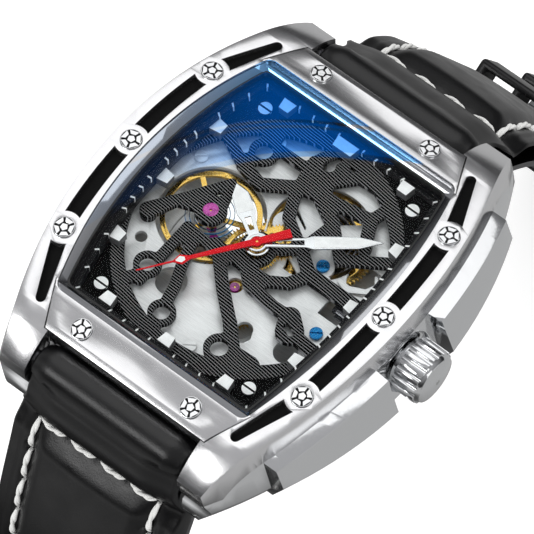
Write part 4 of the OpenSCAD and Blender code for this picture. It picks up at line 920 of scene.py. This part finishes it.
class WATCH_OT_hands(bpy.types.Operator):
    """Finish the three hands and lay the white fillings in them"""

    bl_idname = "watch.hands"
    bl_label = "Hands"

    def execute(self, context):
        bright = shared(polished_steel)
        white = bpy.data.materials["dial_white"]
        red = lacquer("hand_red", (0.72, 0.004, 0.012), 0.4)
        dress("hour_hand", "hours", "steel_polished", bright, 0.06 * MM)
        dress("minute_hand", "minutes", "steel_polished", bright, 0.06 * MM)
        dress("second_hand", "seconds", "red_paint", red, 0.05 * MM)
        for name, body, angle, z, line in (
            ("hour_filling", "hours", 304.3, 9.5, ((4.3, 0.85), (6.55, 0.76), (7.7, 0.1))),
            ("minute_filling", "minutes", 51.6, 9.85, ((6.3, 0.66), (11.1, 0.56), (13.3, 0.1))),
            ("second_filling", "seconds", 216.0, 10.16, ((8.15, 0.18), (8.62, 0.42), (9.2, 0.08))),
        ):
            filling = self.filling(name, angle, z, line)
            fit(filling, body, "white_paint", white)
        return {"FINISHED"}

    def filling(self, name, angle, z, line):
        """A thin six-cornered plate along a hand, from its half widths at three distances."""
        let_go()
        bpy.ops.mesh.primitive_cylinder_add(vertices=6, radius=MM, depth=0.06 * MM)
        piece = bpy.context.object
        settle(piece)
        outline = list(line) + [(s, -w) for s, w in reversed(line)]
        turned = math.radians(90 - angle)
        for vertex in piece.data.vertices:
            around = math.atan2(vertex.co.x, vertex.co.y) % (2 * math.pi)
            s, w = outline[int(round(around / (math.pi / 3))) % 6]
            side = math.copysign(0.03, vertex.co.z)
            x = s * math.cos(turned) - w * math.sin(turned)
            y = s * math.sin(turned) + w * math.cos(turned)
            vertex.co = Vector((x, y, z + side)) * MM
        edit(piece)
        face_outwards()
        piece.name = name
        settle(piece)
        return piece


class WATCH_OT_crown(bpy.types.Operator):
    """Finish the fluted crown"""

    bl_idname = "watch.crown"
    bl_label = "Crown"

    def execute(self, context):
        bright = shared(polished_steel)
        dress("crown", "crown_and_stem", "steel_polished", bright, 0.08 * MM)
        return {"FINISHED"}


class WATCH_OT_case_back(bpy.types.Operator):
    """Finish the case back, its screws and the winding rotor"""

    bl_idname = "watch.case_back"
    bl_label = "Case Back"

    def execute(self, context):
        bright = shared(polished_steel)
        satin = shared(satin_steel)
        dress("case_back", "case", "steel_brushed", satin, 0.12 * MM)
        dress("back_screws", "case", "steel_polished", bright, 0.06 * MM)
        dress("rotor", "winding_rotor", "bridge_metal", shared(silver_plate), 0.1 * MM)
        dress("rotor_screw", "winding_rotor", "blue_steel", shared(blued_steel), 0.05 * MM)
        paint(shared(dark_steel), "rotor_bearing")
        return {"FINISHED"}


# Strap


# Widths and thicknesses of a half, the roll round its spring bar, and its two kinds of end.
STRAP_W, STRAP_END_W, EXTRA_HALF_W = 21.0, 19.6, 1.1
ROOT_T, END_T, LINING_T = 4.4, 2.6, 0.9
ROLL_R, VALLEY_H = 2.6, 1.5
LOOP_R, TIP_LEN = 2.3, 13.0
# Both halves run straight down and bow out a little; the lower one bends onto the floor.
UPPER_LEN, LOWER_LEN = 78.0, 118.0
UPPER_SLOPE, LOWER_SLOPE = math.radians(59), math.radians(76)
LOWER_BOW, UPPER_BOW = 2.0, 3.2
BEND_R = 15.0
BEND_LEN = BEND_R * LOWER_SLOPE
BEND_DROP = BEND_R * (1 - math.cos(LOWER_SLOPE))
LOWER_STRAIGHT = (BAR_Z - FLOOR_Z - END_T / 2 - BEND_DROP) / math.sin(LOWER_SLOPE)
# Where lining and padding start, and how deep the stitches draw the leather in.
LINING_START = 3.4
LOWER_VALLEY, UPPER_VALLEY = 6.9, 9.4
HOLE_DEPTH, ROW_DEPTH = 0.75, 0.22
# The thread's two plies, in parts of its radius, and their twist over one stitch.
PLY_R, PLY_OFFSET, PLY_SIDES = 0.64, 0.36, 8
THREAD_TURNS, THREAD_STEPS = 1.1, 16
# Columns of the leather's mesh, and how closely they stand together at its sides.
SKIN_COLUMNS, SKIN_BUNCH = 60, math.radians(77.4)


def smooth(low, high, value):
    """0 below low, 1 above high, and a soft step between."""
    t = min(max((value - low) / (high - low), 0.0), 1.0)
    return t * t * (3 - 2 * t)


def strap_line(s, lower):
    """Centre line at a distance from the spring bar: y, z and heading."""
    slope = LOWER_SLOPE if lower else UPPER_SLOPE
    if not lower or s <= LOWER_STRAIGHT:
        return s * math.cos(slope), -s * math.sin(slope), slope
    y, z, _ = strap_line(LOWER_STRAIGHT, True)
    if s < LOWER_STRAIGHT + BEND_LEN:
        a = slope - (s - LOWER_STRAIGHT) / BEND_R
        return (
            y + BEND_R * (math.sin(slope) - math.sin(a)),
            z - BEND_R * (math.cos(a) - math.cos(slope)),
            a,
        )
    y += BEND_R * math.sin(slope)
    z -= BEND_R * (1 - math.cos(slope))
    return y + s - LOWER_STRAIGHT - BEND_LEN, z, 0.0


def bow(s, lower):
    """How far the leather bows outwards from the straight line."""
    if lower:
        return LOWER_BOW * smooth(4, 26, s) * (1 - smooth(32, 58, s))
    return UPPER_BOW * smooth(0, 19, s) * (1 - smooth(32, 48, s))


def valley_at(lower):
    """Where the roll meets the padded panel."""
    return LOWER_VALLEY if lower else UPPER_VALLEY


def strap_point(s, d, x, lower):
    """A point beside the centre line, in metres."""
    y, z, a = strap_line(s, lower)
    d += bow(s, lower)
    y += d * math.sin(a)
    z += d * math.cos(a)
    side = -1 if lower else 1
    return Vector((x, side * (BAR_Y + y), BAR_Z + z)) * MM


def strap_half_width(s, lower):
    """Half the strap's width at a distance from the spring bar."""
    half = (STRAP_W + (STRAP_END_W - STRAP_W) * min(max((s - 6) / 42, 0), 1)) / 2
    half += EXTRA_HALF_W * smooth(3.6, 7.0, s) * (1 - smooth(24, 46, s))
    start = LOWER_LEN - TIP_LEN
    if lower and s > start:
        half *= math.sqrt(max(1 - ((s - start) / TIP_LEN) ** 2, 0.0004))
    return half


def strap_half_t(s):
    """Half the strap's thickness at a distance from the spring bar."""
    t = ROOT_T + (END_T - ROOT_T) * min(max((s - 8) / 26, 0), 1)
    return t / 2


def hole_dip(along, across, pitch, gap):
    """How far the leather is drawn in where a row of stitches goes through it."""
    nearest = (along + pitch / 2) % pitch - pitch / 2
    pulled = math.exp(-((nearest / (gap * 0.62)) ** 2) - (across / 0.5) ** 2)
    groove = math.exp(-((across / 0.55) ** 2))
    return HOLE_DEPTH * pulled + ROW_DEPTH * groove


def edge_round(edge):
    """How much lower the leather is right at its side."""
    return 0.3 * (1 - smooth(0.0, 0.35, edge)) ** 2


def skin_height(s, x, lower, sizes):
    """Height of the padded leather above the centre line, without the stitch holes."""
    half = strap_half_width(s, lower)
    edge = half - abs(x)
    t = strap_half_t(s)
    valley = valley_at(lower)
    fall = min(max((s - 1.5) / (valley - 1.5), 0), 1)
    crest = VALLEY_H + (ROLL_R + 0.05 - VALLEY_H) * (1 - fall**2.6)
    crest += 0.5 * math.sin(math.pi * fall) - 0.9 * (1 - smooth(0, 5.0, edge)) ** 1.3
    panel = t + 0.2 + 0.7 * (1 - (x / half) ** 2)
    margin = t - 0.45 + 0.15 * smooth(1.5, 1.65, edge)
    inner = smooth(sizes.inset - 0.2, sizes.inset + 2.2, edge)
    if lower:
        inner *= 1 - smooth(LOWER_LEN - 5, LOWER_LEN - 3.5, s)
    behind = margin + (panel - margin) * inner
    height = crest + (behind - crest) * smooth(valley, valley + 3.2, s)
    return height - edge_round(edge)


def outer_height(s, x, lower, sizes):
    """Height of the outer leather, drawn in along the stitch rows."""
    height = skin_height(s, x, lower, sizes)
    row = strap_half_width(s, lower) - sizes.inset
    behind = s - valley_at(lower)
    if behind > -0.3:
        height -= hole_dip(behind, row - abs(x), sizes.pitch, sizes.gap)
    if abs(x) < row + 0.4:
        height -= hole_dip(x + row, behind, row / 2, sizes.gap)
    return height


def strap_steps(lower):
    """Distances from the spring bar at which the leather is drawn, from the far end back."""
    s = LOWER_LEN if lower else UPPER_LEN
    steps = []
    while s > 0.3:
        steps.append(s)
        s -= 1.0 if s > 14 else 0.35
    return steps


def strap_rows(lower, outer):
    """The rows of a strap skin, once round its section: kind and distance or angle."""
    steps = strap_steps(lower)
    if not outer:
        last = LOWER_LEN if lower else UPPER_LEN - LOOP_R - 1.6
        kept = [s for s in steps if LINING_START < s < last]
        return [("lid", s) for s in kept] + [("base", s) for s in reversed(kept)]
    rows = [("top", s) for s in steps]
    rows += [("roll", math.radians(90 + a)) for a in range(0, 181, 15)]
    rows += [("under", s) for s in reversed(steps) if s > 2.4]
    if not lower:
        rows += [("end", math.radians(a)) for a in range(-80, 81, 20)]
    return rows


def strap_spot(kind, value, u, lower, sizes):
    """Distance, height and side place of a skin point; u runs from -1 to 1 across."""
    if kind == "roll":
        edge = (1 - abs(u)) * STRAP_W / 2
        r = ROLL_R + 0.03 - 0.55 * (1 - smooth(0, 2.6, edge)) ** 1.5
        r -= edge_round(edge)
        return r * math.cos(value), r * math.sin(value), u * STRAP_W / 2
    if kind == "end":
        s = UPPER_LEN + LOOP_R * math.cos(value)
        return s, LOOP_R * math.sin(value), u * STRAP_END_W / 2
    s, t = value, strap_half_t(value)
    half = strap_half_width(s, lower)
    x = u * half
    loop = LOOP_R**2 - (s - UPPER_LEN) ** 2
    if kind == "top":
        d = outer_height(s, x, lower, sizes)
        if not lower and s > UPPER_LEN - 3:
            d = max(d, math.sqrt(max(loop, 0)))
    elif kind == "under":
        d = LINING_T - t if s > 4.5 else -math.sqrt(max(ROLL_R**2 - s * s, 0.2))
        if not lower and s > UPPER_LEN - 3.4:
            d = -math.sqrt(max(loop, 0.2))
    elif kind == "lid":
        d = LINING_T - t - 0.02
    else:
        d = -t + 0.12 * (1 - smooth(0, 0.5, half - abs(x)))
    return s, d, x


def strap_mesh(name, lower, sizes, outer):
    """The outer leather or the lining of a strap half as one closed skin."""
    rows = strap_rows(lower, outer)
    let_go()
    bpy.ops.mesh.primitive_grid_add(
        x_subdivisions=SKIN_COLUMNS - 1, y_subdivisions=len(rows) - 1, size=1
    )
    piece = bpy.context.object
    piece.name = name
    for index, vertex in enumerate(piece.data.vertices):
        row, column = divmod(index, SKIN_COLUMNS)
        across = column / (SKIN_COLUMNS - 1) * 2 - 1
        u = math.sin(across * SKIN_BUNCH) / math.sin(SKIN_BUNCH)
        s, d, x = strap_spot(*rows[row], u, lower, sizes)
        vertex.co = strap_point(s, d, x, lower)
    edit(piece, "VERT")
    bpy.ops.object.mode_set(mode="OBJECT")
    for index, vertex in enumerate(piece.data.vertices):
        vertex.select = index // SKIN_COLUMNS in (0, len(rows) - 1)
    bpy.ops.object.mode_set(mode="EDIT")
    bpy.ops.mesh.select_mode(type="EDGE")
    bpy.ops.mesh.bridge_edge_loops()
    return piece


def close_strap(piece):
    """Cap the open sides, face everything outwards and smooth."""
    edit(piece, "VERT")
    bpy.ops.mesh.select_non_manifold()
    bpy.ops.mesh.fill()
    bpy.ops.mesh.select_all(action="SELECT")
    bpy.ops.mesh.remove_doubles(threshold=5e-6)
    bpy.ops.mesh.normals_make_consistent(inside=False)
    let_go()
    settle(piece, 50)


def rope(radius, length, turns):
    """Two plies twisted round each other along X, made with a screw sweep."""
    plies = []
    for side in (1, -1):
        let_go()
        bpy.ops.mesh.primitive_circle_add(
            vertices=PLY_SIDES,
            radius=radius * PLY_R,
            location=(side * radius * PLY_OFFSET, 0, 0),
            fill_type="NOTHING",
        )
        plies.append(bpy.context.object)
        settle(plies[-1])
    whole = join_as("ply", plies)
    pick(whole)
    twist = whole.modifiers.new("twist", "SCREW")
    twist.axis = "Z"
    twist.angle = turns * 2 * math.pi
    twist.screw_offset = length
    twist.steps = twist.render_steps = THREAD_STEPS
    twist.use_merge_vertices = False
    bpy.ops.object.modifier_apply(modifier=twist.name)
    edit(whole, "VERT")
    bpy.ops.mesh.select_non_manifold()
    bpy.ops.mesh.edge_face_add()
    face_outwards()
    whole.rotation_euler = (0, math.pi / 2, 0)
    settle(whole, 60)
    return whole


def lay_stitch(model, start, end, lower, sizes):
    """Bend a straight length of thread over the leather from one hole to the next."""
    piece = stand("stitch", model.data.copy())
    radius = sizes.thread_radius
    (sa, xa), (sb, xb) = start, end

    def centre(t):
        s, x = sa + (sb - sa) * t, xa + (xb - xa) * t
        rise = radius * (0.75 - 1.6 * abs(2 * t - 1) ** 3.5)
        return strap_point(s, skin_height(s, x, lower, sizes) + rise, x, lower)

    forward = (centre(1) - centre(0)).normalized()
    a = strap_line((sa + sb) / 2, lower)[2]
    outward = Vector((0, (-1 if lower else 1) * math.sin(a), math.cos(a)))
    up = (outward - forward * outward.dot(forward)).normalized()
    side = forward.cross(up)
    for vertex in piece.data.vertices:
        t = vertex.co.x / MM
        vertex.co = centre(t) + side * vertex.co.y + up * vertex.co.z
    return piece


def stitches(name, lower, sizes):
    """Every stitch of a strap half, laid from hole to hole."""
    last = (LOWER_LEN if lower else UPPER_LEN) - (5.0 if lower else 8.0)
    model = rope(sizes.thread_radius * MM, MM, THREAD_TURNS)
    half_gap = sizes.gap / 2
    valley = valley_at(lower)
    made = []
    for side in (-1, 1):
        s = valley
        while s + sizes.pitch <= last + 0.5:
            ends = []
            for at in (s + half_gap, s + sizes.pitch - half_gap):
                ends.append((at, side * (strap_half_width(at, lower) - sizes.inset)))
            made.append(lay_stitch(model, *ends, lower, sizes))
            s += sizes.pitch
    row = strap_half_width(valley, lower) - sizes.inset
    for i in range(4):
        left, right = -row + i * row / 2 + half_gap, -row + (i + 1) * row / 2 - half_gap
        made.append(lay_stitch(model, (valley, left), (valley, right), lower, sizes))
    bpy.data.objects.remove(model)
    seam = join_as(name, made)
    settle(seam, 60)
    return seam


class WATCH_OT_strap(bpy.types.Operator):
    """Make the padded leather halves, their lining, stitches and keepers"""

    bl_idname = "watch.strap"
    bl_label = "Strap"

    def execute(self, context):
        sizes = context.scene.watch_strap
        hide = leather(tuple(sizes.leather))
        lining = soft_grey("grey_lining", (0.06, 0.06, 0.062), 0.7)
        cotton = thread(tuple(sizes.thread))
        for name, lower, body in (
            ("strap_upper", False, "upper_strap"),
            ("strap_lower", True, "lower_strap"),
        ):
            skin = strap_mesh(name + "_leather", lower, sizes, True)
            close_strap(skin)
            fit(skin, body, "black_leather", hide, name)
            under = strap_mesh(name + "_backing", lower, sizes, False)
            close_strap(under)
            fit(under, body, "grey_lining", lining, name + "_lining")
            seam = stitches(name + "_stitches", lower, sizes)
            fit(seam, body, "white_paint", cotton)
        dress("fixed_keeper", "upper_strap", "black_leather", hide, 0.45 * MM, segments=4)
        dress("free_keeper", "loop", "black_leather", hide, 0.45 * MM, segments=4)
        return {"FINISHED"}


class WATCH_OT_buckle(bpy.types.Operator):
    """Finish the buckle, its tang and the bars"""

    bl_idname = "watch.buckle"
    bl_label = "Buckle"

    def execute(self, context):
        bright = shared(polished_steel)
        dress("buckle_frame", "buckle", "steel_polished", bright, 0.4 * MM, segments=4)
        dress("buckle_tang", "tang", "steel_polished", bright, 0.25 * MM, segments=3)
        paint(shared(dark_steel), "buckle_bar", "spring_bar_upper", "spring_bar_lower")
        return {"FINISHED"}


# Studio


# Name, place, aim and size in metres, and power in watts.
LAMPS = (
    ("top_box", (-0.2, 0.23, 0.55), (0, 0, 0.01), (0.7, 0.6), 1.15),
    ("right_box", (0.6, -0.1, 0.3), (0, 0, 0), (0.3, 0.5), 0.5),
    ("left_box", (-0.5, -0.35, 0.25), (0, 0, 0), (0.4, 0.3), 0.2),
    ("front_box", (-0.19, -0.44, 0.36), (0, -0.03, 0), (0.3, 0.18), 0.8),
)
# Painted light on the floor that only glossy rays see, which leather and lugs mirror: two glowing
# patches in front and a paler glow
# farther out: centre, inner and outer radius, and the light inside and outside them.
MIRRORED_GLOW_PATCHES = (
    ((-25, -62), 1.0, 34.0, 2.8, 0.03),
    ((0, -60), 60.0, 130.0, 0.0, 0.42),
    ((-46, -146), 4.0, 84.0, 3.2, 0.0),
)


def soft_lamp(name, place, aim, size, power):
    """A rectangular lamp that looks at a point; place, aim and size in metres."""
    data = bpy.data.lights.new(name, "AREA")
    data.shape = "RECTANGLE"
    data.size, data.size_y = size
    data.energy = power
    lamp = stand(name, data)
    lamp.location = place
    lamp.rotation_mode = "QUATERNION"
    lamp.rotation_quaternion = (Vector(aim) - Vector(place)).to_track_quat("-Z", "Y")
    return lamp


def pale_room():
    """White all round, but for what polished surfaces mirror: a dim room, paler overhead."""
    world = bpy.data.worlds.new("pale_room")
    world.use_nodes = True
    rays = put(world, "LightPath")
    plain = world.node_tree.nodes["Background"]
    plain.inputs["Color"].default_value = (1, 1, 1, 1)
    level = spread(world, seen_directly(world, rays), 0.0, 1.0, 0.7, 1.0)
    link(world, level, plain.inputs["Strength"])
    split = put(world, "SeparateXYZ", {0: put(world, "TexCoord").outputs["Generated"]})
    height = split.outputs["Z"]
    dim = blend(world, height, (0.03, 0.03, 0.032), (0.42, 0.42, 0.43), 0.15, 0.95)
    room = put(world, "Background", {"Color": dim})
    show(world, rays, plain, room, "World Output")
    return world


class WATCH_OT_studio(bpy.types.Operator):
    """Set the floor, the lamps, the pale world and the camera"""

    bl_idname = "watch.studio"
    bl_label = "Studio"

    def pool(self, paper, spot, inner, outer, middle, rest):
        """A round patch of painted light: floor that glows only where polished surfaces mirror it.
        """
        away = distance(paper, places(paper), (*spot, FLOOR_Z))
        return spread(paper, away, inner, outer, middle, rest, interpolation_type="SMOOTHSTEP")

    def execute(self, context):
        sizes = context.scene.watch_studio
        let_go()
        bpy.ops.mesh.primitive_plane_add(size=3, location=(0, 0, FLOOR_Z * MM))
        floor = bpy.context.object
        floor.name = "studio_floor"
        paper, shader = base_finish("floor_paper", tuple(sizes.floor), 0.0, 0.9)
        noise = put(paper, "TexNoise", {"Vector": places(paper), "Scale": 0.05})
        pale = tuple(sizes.floor)
        tone(paper, shader, noise.outputs["Fac"], tuple(c * 0.99 for c in pale), pale)
        rays = put(paper, "LightPath")
        level = math_node(paper, "MULTIPLY", seen_directly(paper, rays), 0.5)
        glow = put(paper, "Emission", {"Color": (1, 1, 1, 1), "Strength": level})
        shown = put(paper, "AddShader", {0: shader.outputs[0], 1: glow.outputs[0]})
        # Painted light: glossy rays see the floor as glowing patches, not as lit paper.
        near, far, low = (self.pool(paper, *patch) for patch in MIRRORED_GLOW_PATCHES)
        side = math_node(paper, "ADD", near, far)
        mirrored = put(paper, "Emission", {"Strength": math_node(paper, "ADD", side, low)})
        show(paper, rays, shown, mirrored, "Material Output")
        floor.data.materials.append(paper)

        context.scene.world = pale_room()
        for lamp in LAMPS:
            soft_lamp(*lamp)

        az, el, roll = sizes.azimuth, sizes.elevation, sizes.roll
        back = Vector((math.sin(az) * math.cos(el), -math.cos(az) * math.cos(el), math.sin(el)))
        right = Vector((math.cos(az), math.sin(az), 0))
        up = back.cross(right)
        side = right * math.cos(roll) + up * math.sin(roll)
        top = -right * math.sin(roll) + up * math.cos(roll)
        data = bpy.data.cameras.new("photo_camera")
        data.lens = sizes.lens
        data.sensor_width = 36
        data.clip_start, data.clip_end = 0.01, 10
        camera = stand("photo_camera", data)
        place = Vector((0, 0, CASE_TOP * MM)) + back * sizes.distance
        place += (side * CAMERA_SHIFT[0] + top * CAMERA_SHIFT[1]) * MM
        basis = Matrix((side, top, back)).transposed().to_4x4()
        camera.matrix_world = Matrix.Translation(place) @ basis
        context.scene.camera = camera
        context.scene.view_settings.view_transform = "Standard"
        return {"FINISHED"}


OPERATORS = (
    WATCH_OT_case,
    WATCH_OT_bezel_screws,
    WATCH_OT_glass,
    WATCH_OT_dial,
    WATCH_OT_movement,
    WATCH_OT_hands,
    WATCH_OT_crown,
    WATCH_OT_case_back,
    WATCH_OT_strap,
    WATCH_OT_buckle,
    WATCH_OT_studio,
)
GROUPS = {
    "watch_case": CaseSettings,
    "watch_dial": DialSettings,
    "watch_strap": StrapSettings,
    "watch_studio": StudioSettings,
}


class VIEW3D_PT_watch(bpy.types.Panel):
    """Buttons for every group of pieces, and their settings"""

    bl_label = "Skeleton Wristwatch"
    bl_space_type = "VIEW_3D"
    bl_region_type = "UI"
    bl_category = "Watch"

    def draw(self, context):
        for name in GROUPS:
            box = self.layout.box()
            settings = getattr(context.scene, name)
            for key in settings.bl_rna.properties.keys():
                if key not in ("rna_type", "name"):
                    box.prop(settings, key)
        for operator in OPERATORS:
            self.layout.operator(operator.bl_idname)


def register():
    """Make the settings, operators and panel known."""
    for name, group in GROUPS.items():
        bpy.utils.register_class(group)
        setattr(bpy.types.Scene, name, bpy.props.PointerProperty(type=group))
    for operator in OPERATORS:
        bpy.utils.register_class(operator)
    bpy.utils.register_class(VIEW3D_PT_watch)


def unregister():
    """Take them away again."""
    bpy.utils.unregister_class(VIEW3D_PT_watch)
    for operator in reversed(OPERATORS):
        bpy.utils.unregister_class(operator)
    for name, group in GROUPS.items():
        delattr(bpy.types.Scene, name)
        bpy.utils.unregister_class(group)


def main():
    """Build everything in order."""
    register()
    for operator in OPERATORS:
        space, verb = operator.bl_idname.split(".")
        getattr(getattr(bpy.ops, space), verb)()


if __name__ == "__main__":
    main()
